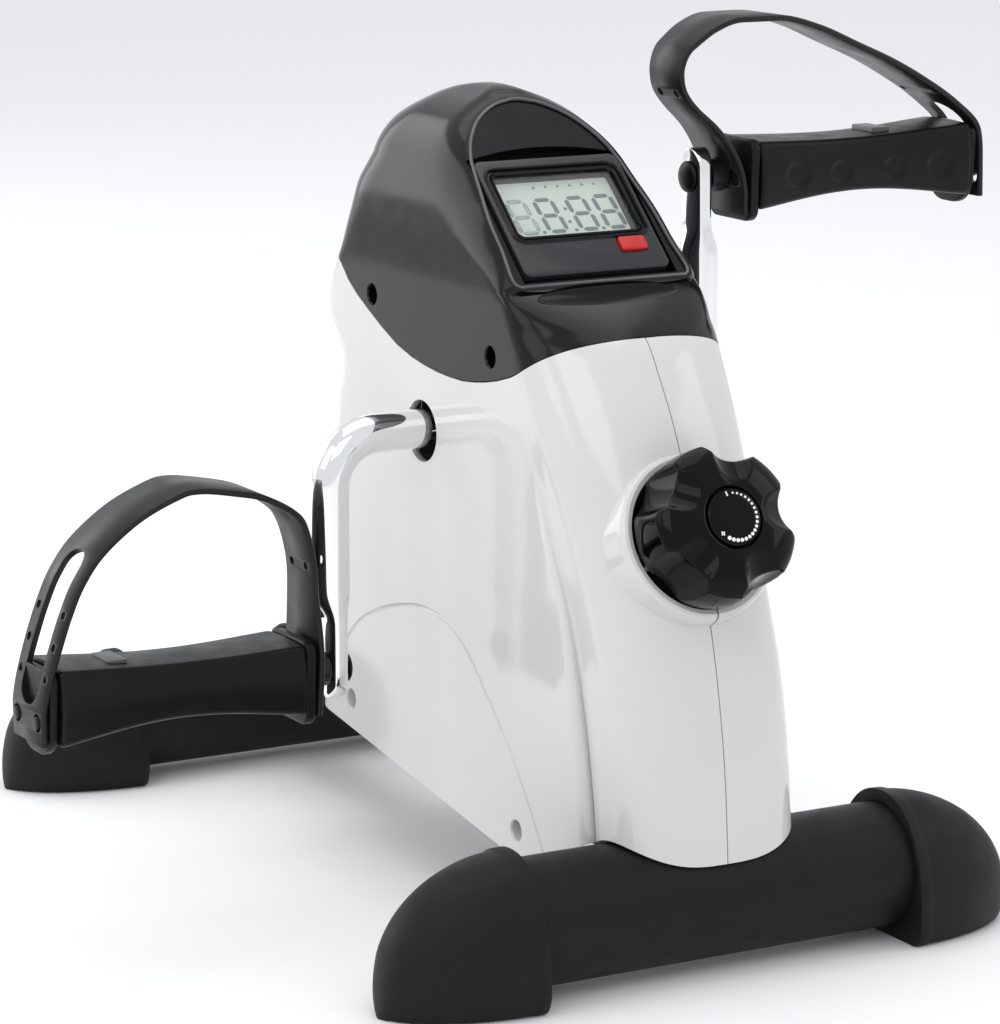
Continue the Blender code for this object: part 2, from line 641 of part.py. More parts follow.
def crank_rings(side, way):
    """Sections along a crank: along the axle, round the bend, then flattened at the pedal."""
    centres = [(CRANK_START, 0.0, 0.0)]
    bend_x = CRANK_X - CRANK_BEND
    centres += [(x, 0.0, 0.0) for x in (0.045, bend_x)]
    for step in range(1, 5):
        turn = pi / 2 * step / 4
        centres.append((bend_x + CRANK_BEND * sin(turn), CRANK_BEND * (1 - cos(turn)), turn))
    centres += [(CRANK_X, drop, pi / 2) for drop in (0.045, CRANK_RADIUS - 0.034)]
    rings = []
    sides = 16
    for x, drop, turn in centres:
        ring = []
        for k in range(sides):
            angle = 2 * pi * k / sides
            out = CRANK_BAR * cos(angle)
            ring.append((side * (x + out * sin(turn)), AXLE_Y + CRANK_BAR * sin(angle),
                         AXLE_Z + way * (drop - out * cos(turn))))
        rings.append(ring)
    middle = sum(CRANK_FLAT) / 2
    half = (CRANK_FLAT[1] - CRANK_FLAT[0]) / 2
    for drop, blend in ((CRANK_RADIUS - 0.024, 0.7), (CRANK_RADIUS - 0.016, 1.0),
                        (CRANK_RADIUS + 0.0085, 1.0), (CRANK_RADIUS + 0.0115, 0.8)):
        ring = []
        for k in range(sides):
            angle = 2 * pi * k / sides
            flat_x = half * np.sign(cos(angle)) * min(abs(cos(angle)) * 1.9, 1.0)
            flat_y = 0.0073 * np.sign(sin(angle)) * min(abs(sin(angle)) * 1.15, 1.0)
            if drop > CRANK_RADIUS + 0.009:
                flat_x, flat_y, blend = flat_x * 0.75, flat_y * 0.65, 1.0
            x = CRANK_X + CRANK_BAR * cos(angle) * (1 - blend) + (middle - CRANK_X + flat_x) * blend
            y = CRANK_BAR * sin(angle) * (1 - blend) + flat_y * blend
            ring.append((side * x, AXLE_Y + y, AXLE_Z + way * drop))
        rings.append(ring)
    return rings


def make_cranks(crank_axis):
    for (side, word), way in zip(SIDES, (-1, 1)):
        crank = loft(f"crank_{word}", crank_rings(side, way), CHROME)
        pivot_z = AXLE_Z + way * CRANK_RADIUS
        socket = cylinder(f"crank_socket_{word}", AXLE_RADIUS + GAP, (side * 0.02, AXLE_Y, AXLE_Z),
                          (side * (SOCKET_END + GAP), AXLE_Y, AXLE_Z), sides=20)
        hole = cylinder(f"spindle_hole_{word}", SPINDLE_RADIUS + GAP, (side * 0.07, AXLE_Y, pivot_z),
                        (side * 0.095, AXLE_Y, pivot_z), sides=20)
        pin_hole = cylinder(f"crank_pin_hole_{word}", 0.0018, (side * 0.031, AXLE_Y, AXLE_Z - 0.01),
                            (side * 0.031, AXLE_Y, AXLE_Z + 0.01), sides=12)
        cut(crank, socket, hole, pin_hole)
        pin = cylinder(f"crank_pin_{word}", 0.0015, (side * 0.031, AXLE_Y, AXLE_Z - 0.0079),
                       (side * 0.031, AXLE_Y, AXLE_Z + 0.0079), STEEL, sides=12)
        hang(crank_axis, crank, pin)
    axle = cylinder("axle", AXLE_RADIUS, (-SOCKET_END, AXLE_Y, AXLE_Z), (SOCKET_END, AXLE_Y, AXLE_Z),
                    STEEL, sides=20)
    for side, word in SIDES:
        cut(axle, cylinder(f"axle_pin_hole_{word}", 0.0018, (side * 0.031, AXLE_Y, AXLE_Z - 0.01),
                           (side * 0.031, AXLE_Y, AXLE_Z + 0.01), sides=12))
    hang(crank_axis, axle)


MAGNET_AT = 0.032             # the magnet's distance from the axle


def make_drum(crank_axis):
    """The drum that the brake band rubs on, and the magnet that the counter's sensor reads."""
    rim, web, hub = DRUM_RADIUS, 0.004, 0.012
    bore = AXLE_RADIUS + GAP
    profile = ((rim, DRUM_HALF), (rim, -DRUM_HALF), (rim - 0.006, -DRUM_HALF), (rim - 0.006, -web),
               (hub, -web), (hub, -DRUM_HALF), (bore, -DRUM_HALF), (bore, DRUM_HALF),
               (hub, DRUM_HALF), (hub, web), (rim - 0.006, web), (rim - 0.006, DRUM_HALF))
    place = Matrix.Translation((0, AXLE_Y, AXLE_Z)) @ along((1, 0, 0))
    drum = turned("brake_drum", profile, place, CAST_IRON, steps=22, ring=True)
    magnet = cylinder("speed_magnet", 0.0040, (web + GAP, AXLE_Y, AXLE_Z - MAGNET_AT),
                      (web + 0.0040, AXLE_Y, AXLE_Z - MAGNET_AT), STEEL, sides=16)
    hang(crank_axis, drum, magnet)


BAND_HALF = 0.009
BAND_THICKNESS = 0.0018
SLIDER_DEPTH = 0.094          # the nut's middle, behind the knob's front


def band_line():
    """Middle line of the brake band in the YZ plane: up from the pin, over the drum, down."""
    radius = DRUM_RADIUS + 2 * GAP + BAND_THICKNESS / 2
    line = [(ANCHOR[0] + 0.0065, ANCHOR[1] + 0.004), (AXLE_Y + radius - 0.0015, AXLE_Z - 0.040)]
    for step in range(21):
        turn = radians(-8 + 196 * step / 20)
        line.append((AXLE_Y + radius * cos(turn), AXLE_Z + radius * sin(turn)))
    line.append((AXLE_Y - radius - 0.0006, AXLE_Z - 0.022))
    return line


def ribbon(name, line, half_width, thickness, look):
    """A flat band: a line in a plane across X with width along X."""
    offsets = []
    for i, (y, z) in enumerate(line):
        before, after = line[max(i - 1, 0)], line[min(i + 1, len(line) - 1)]
        dy, dz = after[0] - before[0], after[1] - before[1]
        length = hypot(dy, dz)
        offsets.append((-dz / length * thickness / 2, dy / length * thickness / 2))
    rings = []
    for (y, z), (oy, oz) in zip(line, offsets):
        rings.append([(-half_width, y + oy, z + oz), (half_width, y + oy, z + oz),
                      (half_width, y - oy, z - oz), (-half_width, y - oy, z - oz)])
    return loft(name, rings, look)


def make_brake():
    ribbon("brake_band", band_line(), BAND_HALF, BAND_THICKNESS, FELT)
    cylinder("band_anchor_pin", 0.0030, (-PLATE_X - 0.002, *ANCHOR), (PLATE_X + 0.002, *ANCHOR),
             STEEL, sides=16)
    knob_place = empty("knob_axis", KNOB_FRONT)
    axis = knob_axis()
    screw = cylinder("tension_screw", 0.0030, knob_point(0.118), knob_point(0.0125), STEEL, sides=20)
    collar = cylinder("screw_collar", 0.0060, knob_point(0.0355), knob_point(0.0312), sides=20)
    add(screw, collar)
    hang(knob_place, screw, *make_knob())
    slider_place = empty("slider_axis", knob_point(SLIDER_DEPTH))
    turn = along(axis)
    nut = box("tension_nut", (0.016, 0.016, 0.012), knob_point(SLIDER_DEPTH), BRASS, turn, 0.0008)
    cut(nut, cylinder("tension_nut_bore", 0.0033, knob_point(SLIDER_DEPTH + 0.02),
                      knob_point(SLIDER_DEPTH - 0.02), sides=20))
    hang(slider_place, nut, band_spring(turn))


def band_spring(turn):
    """The spring that pulls the band's free end, hooked to the nut: a coil of six turns."""
    top = Vector((0, AXLE_Y - DRUM_RADIUS - 0.0018, AXLE_Z - 0.029))
    foot = knob_point(SLIDER_DEPTH) + turn.to_3x3() @ Vector((0, 0.0110, 0))
    curve = bpy.data.curves.new("band_spring", "CURVE")
    curve.dimensions = "3D"
    curve.bevel_depth = 0.0006
    curve.bevel_resolution = 0
    curve.use_fill_caps = True
    spline = curve.splines.new("POLY")
    turns, per_turn, coil = 5, 8, 0.0035
    axis = (top - foot).normalized()
    side = Vector((1, 0, 0))
    across = axis.cross(side)
    count = turns * per_turn + 1
    spline.points.add(count - 1)
    for i in range(count):
        angle = 2 * pi * i / per_turn
        at = foot.lerp(top, i / (count - 1)) + coil * (cos(angle) * side + sin(angle) * across)
        spline.points[i].co = (*at, 1)
    made = bpy.data.objects.new("band_spring", curve)
    PARTS.objects.link(made)
    curve.materials.append(STEEL)
    return made


KNOB_DEPTH = 0.0285


def make_knob():
    """A domed knob with a finger scoop between its lobes and a round cap in the middle of its face."""
    place = Matrix.Translation(KNOB_FRONT) @ along(knob_axis())
    profile = ((0.0, -0.0030), (0.0129, -0.0030), (0.0160, -0.0034), (0.0210, -0.0048),
               (0.0255, -0.0068), (0.0285, -0.0095), (KNOB_RADIUS - 0.0005, -0.0130),
               (KNOB_RADIUS, -0.0190), (KNOB_RADIUS - 0.0005, -0.0250),
               (KNOB_RADIUS - 0.0030, -KNOB_DEPTH), (0.0, -KNOB_DEPTH))
    knob = turned("tension_knob", profile, place, BLACK_GLOSS, steps=28)
    bm = bmesh.new()
    for lobe in range(KNOB_LOBES):
        angle = radians(2.6 + 360 / KNOB_LOBES * lobe)
        scoop = Matrix.Rotation(angle, 4, "Z") @ Matrix.Translation((0.0416, 0, -0.0080))
        tilt = Matrix.Rotation(radians(-8.5), 4, "Y")
        bmesh.ops.create_cone(bm, cap_ends=True, segments=32, radius1=0.0175, radius2=0.0175,
                              depth=0.060, matrix=place @ scoop @ tilt)
    bore = cylinder("knob_bore", 0.0033, knob_point(0.0118), knob_point(0.05), sides=16)
    pocket = cylinder("knob_cap_pocket", 0.0123, knob_point(0.0050), knob_point(-0.01), sides=32)
    cut(knob, new_object("knob_scoops", bm), bore, pocket)
    cap = turned("knob_cap", ((0.0, 0.0), (0.0108, 0.0), (0.0120, -0.0010), (0.0120, -0.0047),
                              (0.0, -0.0047)), place, BLACK_GLOSS, steps=24)
    return knob, cap


# ---------------------------------------------------------------- counter's sensor
def make_sensor():
    """A reed switch on the right plate's inner side, level with the magnet as it passes below."""
    box("reed_sensor", (0.0050, 0.012, 0.008), (0.0141, AXLE_Y, AXLE_Z - MAGNET_AT), BLACK_PAINT,
        bevel=0.0006)


# ---------------------------------------------------------------- pedals
PLATE_INNER = (0.1013, 0.1056)     # inner end plate, from inside to outside
PLATE_OUTER = (0.2114, 0.2152)
STRAP_INNER = 0.0995               # middle of the strap where it lies on the inner plate
STRAP_OUTER = 0.2170
PEG_RADIUS = 0.0028
PEG_Y = 0.0095
PEG_INNER_Z = (0.000, 0.000)
PEG_OUTER_Z = (-0.004, -0.004)

STRAP_LEFT = ((0.0995, -0.006), (0.0995, 0.016), (0.0995, 0.040), (0.1015, 0.056), (0.1075, 0.068),
              (0.1190, 0.0750), (0.1340, 0.0788), (0.1500, 0.0812), (0.1630, 0.0795),
              (0.1765, 0.0737), (0.1925, 0.0625), (0.2030, 0.0500), (0.2095, 0.0370),
              (0.2143, 0.0250), (0.2170, 0.0145), (0.2172, 0.0040), (0.2172, -0.0120))
STRAP_RIGHT = ((0.0995, -0.006), (0.0995, 0.014), (0.0995, 0.036), (0.1015, 0.0490),
               (0.1075, 0.0600), (0.1180, 0.0652), (0.1320, 0.0638), (0.1520, 0.0555),
               (0.1730, 0.0465), (0.1925, 0.0370), (0.2050, 0.0290), (0.2138, 0.0210),
               (0.2170, 0.0145), (0.2172, 0.0040), (0.2172, -0.0120))


def pedal_body(name, side, pivot_z):
    """A moulded bar with a flat top, drawn in at the middle below, in front and behind."""
    rings = []
    for share in np.linspace(0, 1, 7):
        waist = sin(pi * share)
        half = PEDAL_DEPTH / 2 - 0.0028 * waist
        top = PEDAL_HEIGHT / 2 - 0.0020 * waist
        low = -PEDAL_HEIGHT / 2 + 0.0048 * waist
        x = side * (PEDAL_INNER + (PEDAL_OUTER - PEDAL_INNER) * share)
        edge = 0.0030
        ring = []
        for cy, cz, first in ((half - edge, top - edge, 0), (-half + edge, top - edge, 90),
                              (-half + edge, low + edge, 180), (half - edge, low + edge, 270)):
            for step in range(3):
                turn = radians(first + 45 * step)
                ring.append((x, AXLE_Y + cy + edge * cos(turn), pivot_z + cz + edge * sin(turn)))
        rings.append(ring)
    return loft(name, rings, PEDAL_BLACK)


def end_plate(name, side, pivot_z, span, peg_z, outward):
    """A plate that closes one end of a pedal, with two pegs for the strap."""
    half, top, low, edge = 0.0172, 0.0130, -0.0185, 0.005
    outline = []
    for cy, cz, first in ((half - edge, top - edge, 0), (-half + edge, top - edge, 90),
                          (-half * 0.72 + edge, low + edge, 180), (half * 0.72 - edge, low + edge, 270)):
        for step in range(3):
            turn = radians(first + 45 * step)
            outline.append((AXLE_Y + cy + edge * cos(turn), pivot_z + cz + edge * sin(turn)))
    low_x, high_x = sorted(side * x for x in span)
    plate = slab(name, outline, low_x, high_x, PEDAL_BLACK)
    face = span[1] if outward else span[0]
    tip = face + (0.0042 if outward else -0.0042)
    root = face + (-0.001 if outward else 0.001)
    for hand, z in zip((-1, 1), peg_z):
        y = AXLE_Y + hand * PEG_Y
        add(plate, cylinder(f"{name}_peg_{hand}", PEG_RADIUS, (side * root, y, pivot_z + z),
                            (side * tip, y, pivot_z + z), sides=12))
    return plate


def strap_rings(side, pivot_z, points):
    """Sections of a strap from the inner plate over the foot space to the outer plate."""
    table_x = [(i, p[0]) for i, p in enumerate(points)]
    table_z = [(i, p[1]) for i, p in enumerate(points)]
    line = [(smooth_value(table_x, t), smooth_value(table_z, t))
            for t in np.linspace(0, len(points) - 1, round(1.4 * len(points)))]
    rings = []
    for i, (x, z) in enumerate(line):
        before, after = line[max(i - 1, 0)], line[min(i + 1, len(line) - 1)]
        dx, dz = after[0] - before[0], after[1] - before[1]
        length = hypot(dx, dz)
        ox, oz = -dz / length * STRAP_THICKNESS / 2, dx / length * STRAP_THICKNESS / 2
        half = STRAP_WIDTH / 2
        ring = []
        for sign, y in ((1, -half), (1, half), (-1, half), (-1, -half)):
            ring.append((side * (x + sign * ox), AXLE_Y + y, pivot_z + z + sign * oz))
        rings.append(ring)
    return rings


def make_strap(word, side, pivot_z):
    points = STRAP_LEFT if side == LEFT else STRAP_RIGHT
    strap = loft(f"strap_{word}", strap_rings(side, pivot_z, points), RUBBER)
    slot_top = 0.0470 if side == LEFT else 0.0300
    slot = box(f"strap_slot_{word}", (0.030, 0.0085, slot_top + 0.030),
               (side * 0.2150, AXLE_Y, pivot_z + (slot_top - 0.030) / 2))
    cutters = [slot]
    for x, heights in ((STRAP_INNER, PEG_INNER_Z), (STRAP_OUTER, PEG_OUTER_Z)):
        for hand, z in zip((-1, 1), heights):
            y = AXLE_Y + hand * (PEG_Y if x == STRAP_INNER else PEG_Y + 0.0006)
            cutters.append(cylinder(f"strap_hole_{word}_{round(x * 1e3)}_{hand}",
                                    PEG_RADIUS + 0.0010, (side * (x - 0.006), y, pivot_z + z),
                                    (side * (x + 0.006), y, pivot_z + z), sides=12))
    return cut(strap, *cutters)


def make_pedals(crank_axis):
    for (side, word), way in zip(SIDES, (-1, 1)):
        pivot_z = AXLE_Z + way * CRANK_RADIUS
        pivot = empty(f"pedal_axis_{word}", (side * CRANK_X, AXLE_Y, pivot_z), crank_axis)
        body = pedal_body(f"pedal_body_{word}", side, pivot_z)
        inner = end_plate(f"pedal_inner_plate_{word}", side, pivot_z, PLATE_INNER, PEG_INNER_Z, False)
        outer = end_plate(f"pedal_outer_plate_{word}", side, pivot_z, PLATE_OUTER, PEG_OUTER_Z, True)
        bore = cylinder(f"spindle_bore_{word}", SPINDLE_RADIUS + GAP, (side * 0.095, AXLE_Y, pivot_z),
                        (side * 0.2134, AXLE_Y, pivot_z), sides=20)
        cut(body, bore)
        cut(inner, bore)
        cut(outer, bore)
        strap = make_strap(word, side, pivot_z)
        spindle_gap = cylinder(f"strap_spindle_gap_{word}", SPINDLE_RADIUS + 0.0008,
                               (side * 0.095, AXLE_Y, pivot_z), (side * 0.103, AXLE_Y, pivot_z),
                               sides=16)
        cut(strap, spindle_gap)
        hang(pivot, body, inner, outer, strap)
        spindle = cylinder(f"pedal_spindle_{word}", SPINDLE_RADIUS, (side * 0.0808, AXLE_Y, pivot_z),
                           (side * 0.2128, AXLE_Y, pivot_z), STEEL, sides=20)
        collar = cylinder(f"spindle_collar_{word}", 0.0068, (side * (CRANK_FLAT[1] + GAP), AXLE_Y, pivot_z),
                          (side * 0.0965, AXLE_Y, pivot_z), sides=20)
        add(spindle, collar)
        nut = turned(f"pedal_nut_{word}",
                     ((0.0, 0.0022), (0.0030, 0.0020), (0.0052, 0.0014), (0.0063, 0.0006),
                      (0.0066, 0.0), (0.0, 0.0)),
                     Matrix.Translation((side * (CRANK_FLAT[0] - GAP), AXLE_Y, pivot_z))
                     @ along((-side, 0, 0)), STEEL, steps=16)
        hang(crank_axis, spindle, nut)


# ---------------------------------------------------------------- assembly
def main():
    make_feet()
    make_frame()
    make_housing()
    make_cover()
    make_display()
    make_brake()
    crank_axis = empty("crank_axis", (0, AXLE_Y, AXLE_Z))
    make_cranks(crank_axis)
    make_drum(crank_axis)
    make_pedals(crank_axis)
    make_sensor()


main()
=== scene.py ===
from math import atan, atan2, cos, hypot, pi, radians, sin, sqrt

import bmesh
import bpy
import numpy as np
from mathutils import Matrix, Vector


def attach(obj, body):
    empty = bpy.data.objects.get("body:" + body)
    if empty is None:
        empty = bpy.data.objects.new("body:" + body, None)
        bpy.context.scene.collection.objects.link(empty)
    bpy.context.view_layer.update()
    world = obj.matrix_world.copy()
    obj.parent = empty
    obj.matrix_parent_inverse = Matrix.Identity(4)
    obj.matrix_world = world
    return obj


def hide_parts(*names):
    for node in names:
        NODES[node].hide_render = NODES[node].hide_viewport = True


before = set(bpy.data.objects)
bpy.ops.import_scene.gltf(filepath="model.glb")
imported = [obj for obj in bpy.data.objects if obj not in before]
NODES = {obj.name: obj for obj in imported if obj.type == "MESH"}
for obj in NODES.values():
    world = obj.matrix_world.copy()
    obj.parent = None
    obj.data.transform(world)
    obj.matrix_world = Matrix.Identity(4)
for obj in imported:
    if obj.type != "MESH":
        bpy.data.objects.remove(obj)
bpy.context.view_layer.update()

LEFT, RIGHT = -1, 1
SIDES = ((LEFT, "left"), (RIGHT, "right"))

# ---- the CAD's own sizes
AXLE_Y, AXLE_Z, CRANK = -0.037, 0.191, 0.0945
CRANK_X = 0.0864
FOOT_Y, FOOT_Z, FOOT_R = 0.181, 0.0275, 0.025
SLOPE = 0.9  # the display face: how far it rises per length
THETA = atan(SLOPE)
FACE_Y, FACE_Z, FACE_FOOT = -0.08, 0.28, 0.2545
TILT = radians(25.5)  # the knob's axis above the level
KNOB_FRONT = Vector((0, -0.205, 0.1813))
KNOB_AXIS = Vector((0, -cos(TILT), sin(TILT)))
HALF = 0.0445
TOP = 0.3266
PIVOT = {LEFT: AXLE_Z - CRANK, RIGHT: AXLE_Z + CRANK}
HOUSING_SCREWS = ((-0.1149, 0.0421), (0.0278, 0.064))
COVER_SCREWS = ((0.006, 0.24), (-0.0939, 0.2285))
SCREW_HOLE, AXLE_HOLE, AXLE_HOLE_Z = 0.0046, 0.01265, 0.19
WALL, SEAM, EDGE_GAP = 0.0024, 0.00022, 0.00025
MERGE = 0.000002  # points nearer than this are one point


# ---- materials
def surface(name, colour, rough, grain=900.0, bump=0.02, vary=0.06, spread=0.05, metallic=0.0,
            coat=0.0, specular=0.5, alpha=1.0):
    """A moulded, painted or metal surface: fine grain, uneven gloss and a slow drift of colour."""
    mat = bpy.data.materials.new(name)
    mat.use_nodes = True
    tree = mat.node_tree
    bsdf = tree.nodes["Principled BSDF"]
    bsdf.inputs["Metallic"].default_value = metallic
    bsdf.inputs["Specular IOR Level"].default_value = specular
    bsdf.inputs["Coat Weight"].default_value = coat
    bsdf.inputs["Coat Roughness"].default_value = 0.04
    bsdf.inputs["Alpha"].default_value = alpha
    where = tree.nodes.new("ShaderNodeTexCoord").outputs["Object"]

    def noise(scale, detail):
        node = tree.nodes.new("ShaderNodeTexNoise")
        node.inputs["Scale"].default_value = scale
        node.inputs["Detail"].default_value = detail
        tree.links.new(where, node.inputs["Vector"])
        return node.outputs["Fac"]

    mix = tree.nodes.new("ShaderNodeMix")
    mix.data_type = "RGBA"
    mix.inputs["A"].default_value = (*[c * (1 - vary) for c in colour], 1)
    mix.inputs["B"].default_value = (*[min(c * (1 + vary), 1.0) for c in colour], 1)
    tree.links.new(noise(28.0, 3.0), mix.inputs["Factor"])
    tree.links.new(mix.outputs["Result"], bsdf.inputs["Base Color"])
    gloss = tree.nodes.new("ShaderNodeMapRange")
    gloss.inputs["From Min"].default_value = 0.3
    gloss.inputs["From Max"].default_value = 0.7
    gloss.inputs["To Min"].default_value = max(rough - spread, 0.02)
    gloss.inputs["To Max"].default_value = min(rough + spread, 1.0)
    tree.links.new(noise(90.0, 4.0), gloss.inputs["Value"])
    tree.links.new(gloss.outputs["Result"], bsdf.inputs["Roughness"])
    rise = tree.nodes.new("ShaderNodeBump")
    rise.inputs["Strength"].default_value = bump
    rise.inputs["Distance"].default_value = 0.0004
    tree.links.new(noise(grain, 2.0), rise.inputs["Height"])
    tree.links.new(rise.outputs["Normal"], bsdf.inputs["Normal"])
    return mat


WHITE = surface("white_gloss_plastic", (0.625, 0.615, 0.607), 0.12, grain=260, bump=0.008, vary=0.012,
    spread=0.03, coat=0.25)
# The housing's own white plastic, painted dark grey as shade, for the shell's inner face and the sleeve in
# the axle hole.
WHITE_PAINTED_SHADE = surface("white_plastic_inside_painted_shade", (0.22, 0.22, 0.215), 0.55, grain=700, bump=0.1)
BLACK = surface("black_gloss_plastic", (0.0035, 0.0035, 0.004), 0.15, grain=300, bump=0.006, vary=0.1,
    spread=0.03, specular=0.25)
KNOB_BLACK = surface("black_knob_plastic", (0.0014, 0.0014, 0.0016), 0.07, grain=300, bump=0.004,
    vary=0.1, spread=0.02, specular=0.15)
BEZEL = surface("bezel_grey_plastic", (0.02, 0.019, 0.023), 0.24, grain=1500, bump=0.05, vary=0.05,
    specular=0.4)
DARK = surface("recess_black_plastic", (0.003, 0.003, 0.0035), 0.35, grain=1500, bump=0.05,
    specular=0.25)
RUBBER = surface("black_rubber", (0.0062, 0.0064, 0.0066), 0.52, grain=1700, bump=0.2, vary=0.16,
    spread=0.06, specular=0.2)
PAINT = surface("black_powder_coat", (0.0065, 0.0067, 0.007), 0.45, grain=2600, bump=0.28, vary=0.16,
    spread=0.07, specular=0.18)
PEDAL = surface("black_pedal_plastic", (0.005, 0.0051, 0.0054), 0.36, grain=1400, bump=0.1, vary=0.14,
    spread=0.07, specular=0.18)
STRAP = surface("black_strap_rubber", (0.007, 0.0071, 0.0075), 0.38, grain=1100, bump=0.12, vary=0.14,
    spread=0.07, specular=0.3)
CHROME = surface("crank_chrome", (0.86, 0.865, 0.87), 0.045, grain=500, bump=0.006, vary=0.01,
    spread=0.02, metallic=1.0)
STEEL = surface("zinc_steel", (0.55, 0.56, 0.58), 0.32, grain=1800, bump=0.08, vary=0.08, metallic=1.0)
IRON = surface("turned_iron", (0.16, 0.16, 0.165), 0.45, grain=1500, bump=0.15, vary=0.15, metallic=0.9)
FELT = surface("brake_felt", (0.28, 0.25, 0.21), 0.92, grain=2200, bump=0.7, vary=0.2)
BRASS = surface("brass", (0.72, 0.54, 0.24), 0.28, grain=1200, bump=0.06, metallic=1.0)
RED = surface("red_button_plastic", (0.5, 0.01, 0.012), 0.28, grain=900, bump=0.04, vary=0.1)
DARK_STEEL = surface("blackened_steel", (0.02, 0.02, 0.022), 0.4, grain=1600, bump=0.08, metallic=0.5)
CLIP = surface("grey_clip_plastic", (0.075, 0.077, 0.08), 0.35, grain=1200, bump=0.06)
BOARD = surface("board_green", (0.03, 0.15, 0.07), 0.45, grain=1500, bump=0.1)
# The face's edge line: dark grey, lighter than the black cover, as a painted highlight along that edge.
EDGE_PAINTED_HIGHLIGHT = surface("face_edge_line_painted_highlight", (0.085, 0.085, 0.09), 0.22, grain=900, bump=0.02)
LCD = surface("lcd_reflector", (0.5, 0.56, 0.5), 0.5, grain=3200, bump=0.06, vary=0.03)
LCD_DARK = surface("lcd_segment", (0.075, 0.115, 0.125), 0.45, grain=3000, bump=0.03, vary=0.1)
LCD_PALE = surface("lcd_segment_idle", (0.34, 0.41, 0.38), 0.45, grain=3000, bump=0.03, vary=0.06)
PRINT = surface("white_print", (0.85, 0.85, 0.85), 0.4, grain=2500, bump=0.05, vary=0.03)
CLEAR = surface("clear_window", (0.92, 0.94, 0.94), 0.03, grain=300, bump=0.002, vary=0.02,
    spread=0.01, alpha=0.06)


# ---- mesh helpers
def link(mesh, name, mat, sharp=32.0):
    obj = bpy.data.objects.new(name, mesh)
    bpy.context.scene.collection.objects.link(obj)
    if mat is not None and not mesh.materials:
        mesh.materials.append(mat)
    mesh.shade_smooth()
    if sharp:
        mesh.set_sharp_from_angle(angle=radians(sharp))
    return obj


def from_bm(name, bm, mat, sharp=32.0):
    bmesh.ops.recalc_face_normals(bm, faces=bm.faces)
    mesh = bpy.data.meshes.new(name)
    bm.to_mesh(mesh)
    bm.free()
    return link(mesh, name, mat, sharp)


def clean(mesh):
    """Merges doubled points and drops slivers and stray faces."""
    bm = bmesh.new()
    bm.from_mesh(mesh)
    bmesh.ops.remove_doubles(bm, verts=bm.verts, dist=2 * MERGE)
    bmesh.ops.dissolve_degenerate(bm, edges=bm.edges, dist=2 * MERGE)
    shared = {}
    for face in bm.faces:
        shared.setdefault(frozenset(vert.index for vert in face.verts), []).append(face)
    twins = [face for faces in shared.values() if len(faces) > 1 for face in faces]
    bmesh.ops.delete(bm, geom=twins, context="FACES")
    bm.verts.index_update()
    seen, stray = set(), []
    for first in bm.verts:
        if first.index in seen:
            continue
        seen.add(first.index)
        island, todo = [], [first]
        while todo:
            vert = todo.pop()
            island.append(vert)
            for edge in vert.link_edges:
                other = edge.other_vert(vert)
                if other.index not in seen:
                    seen.add(other.index)
                    todo.append(other)
        if len({face.index for vert in island for face in vert.link_faces}) < 6:
            stray += island
    bmesh.ops.delete(bm, geom=stray, context="VERTS")
    bm.to_mesh(mesh)
    bm.free()


def grid(name, rows, mat, wrap=False, ends=False, sharp=32.0):
    """A skin through rows of points; wrap joins each row's ends, ends closes the first and last."""
    rows = [np.asarray(r, float) for r in rows]
    n = len(rows[0])
    points = np.concatenate(rows)
    faces = []
    for i in range(len(rows) - 1):
        for j in range(n if wrap else n - 1):
            k = (j + 1) % n
            faces.append((i * n + j, i * n + k, (i + 1) * n + k, (i + 1) * n + j))
    if ends:
        faces.append(tuple(range(n)))
        faces.append(tuple(range((len(rows) - 1) * n, len(rows) * n)))
    mesh = bpy.data.meshes.new(name)
    mesh.from_pydata([tuple(map(float, p)) for p in points], [], faces)
    mesh.validate()
    bm = bmesh.new()
    bm.from_mesh(mesh)
    bpy.data.meshes.remove(mesh)
    bmesh.ops.remove_doubles(bm, verts=bm.verts, dist=MERGE)
    return from_bm(name, bm, mat, sharp)


def finished_mesh(obj):
    """A new mesh of the object with its modifiers applied."""
    bpy.context.view_layer.update()
    graph = bpy.context.evaluated_depsgraph_get()
    return bpy.data.meshes.new_from_object(obj.evaluated_get(graph))


def bake(obj, sharp=32.0):
    """Applies every modifier, then marks the sharp edges again."""
    made = finished_mesh(obj)
    obj.modifiers.clear()
    clean(made)
    obj.data = made
    made.shade_smooth()
    made.set_sharp_from_angle(angle=radians(sharp))
    return obj


def cut(obj, *cutters):
    """Cuts the cutters out of obj and removes them."""
    for cutter in cutters:
        mod = obj.modifiers.new("cut", "BOOLEAN")
        mod.operation = "DIFFERENCE"
        mod.solver = "EXACT"
        mod.object = cutter
    bake(obj)
    for cutter in cutters:
        bpy.data.objects.remove(cutter)


def join(obj, *others):
    """Adds the others' meshes to obj, with their materials."""
    bm = bmesh.new()
    bm.from_mesh(obj.data)
    for other in others:
        mesh = finished_mesh(other)
        mesh.transform(other.matrix_world)
        slots = []
        for mat in mesh.materials:
            if mat.name not in obj.data.materials:
                obj.data.materials.append(mat)
            slots.append(obj.data.materials.find(mat.name))
        for poly in mesh.polygons:
            poly.material_index = slots[poly.material_index] if slots else 0
        bm.from_mesh(mesh)
        bpy.data.objects.remove(other)
    bm.to_mesh(obj.data)
    bm.free()
    obj.data.shade_smooth()
    obj.data.set_sharp_from_angle(angle=radians(32))
    return obj


def bevel(obj, width, segments=2):
    mod = obj.modifiers.new("bevel", "BEVEL")
    mod.width = width
    mod.segments = segments
    mod.limit_method = "ANGLE"
    mod.angle_limit = radians(35)
    return bake(obj)


def along(axis):
    """Turns local Z to lie along an axis."""
    return Vector((0, 0, 1)).rotation_difference(Vector(axis)).to_matrix().to_4x4()


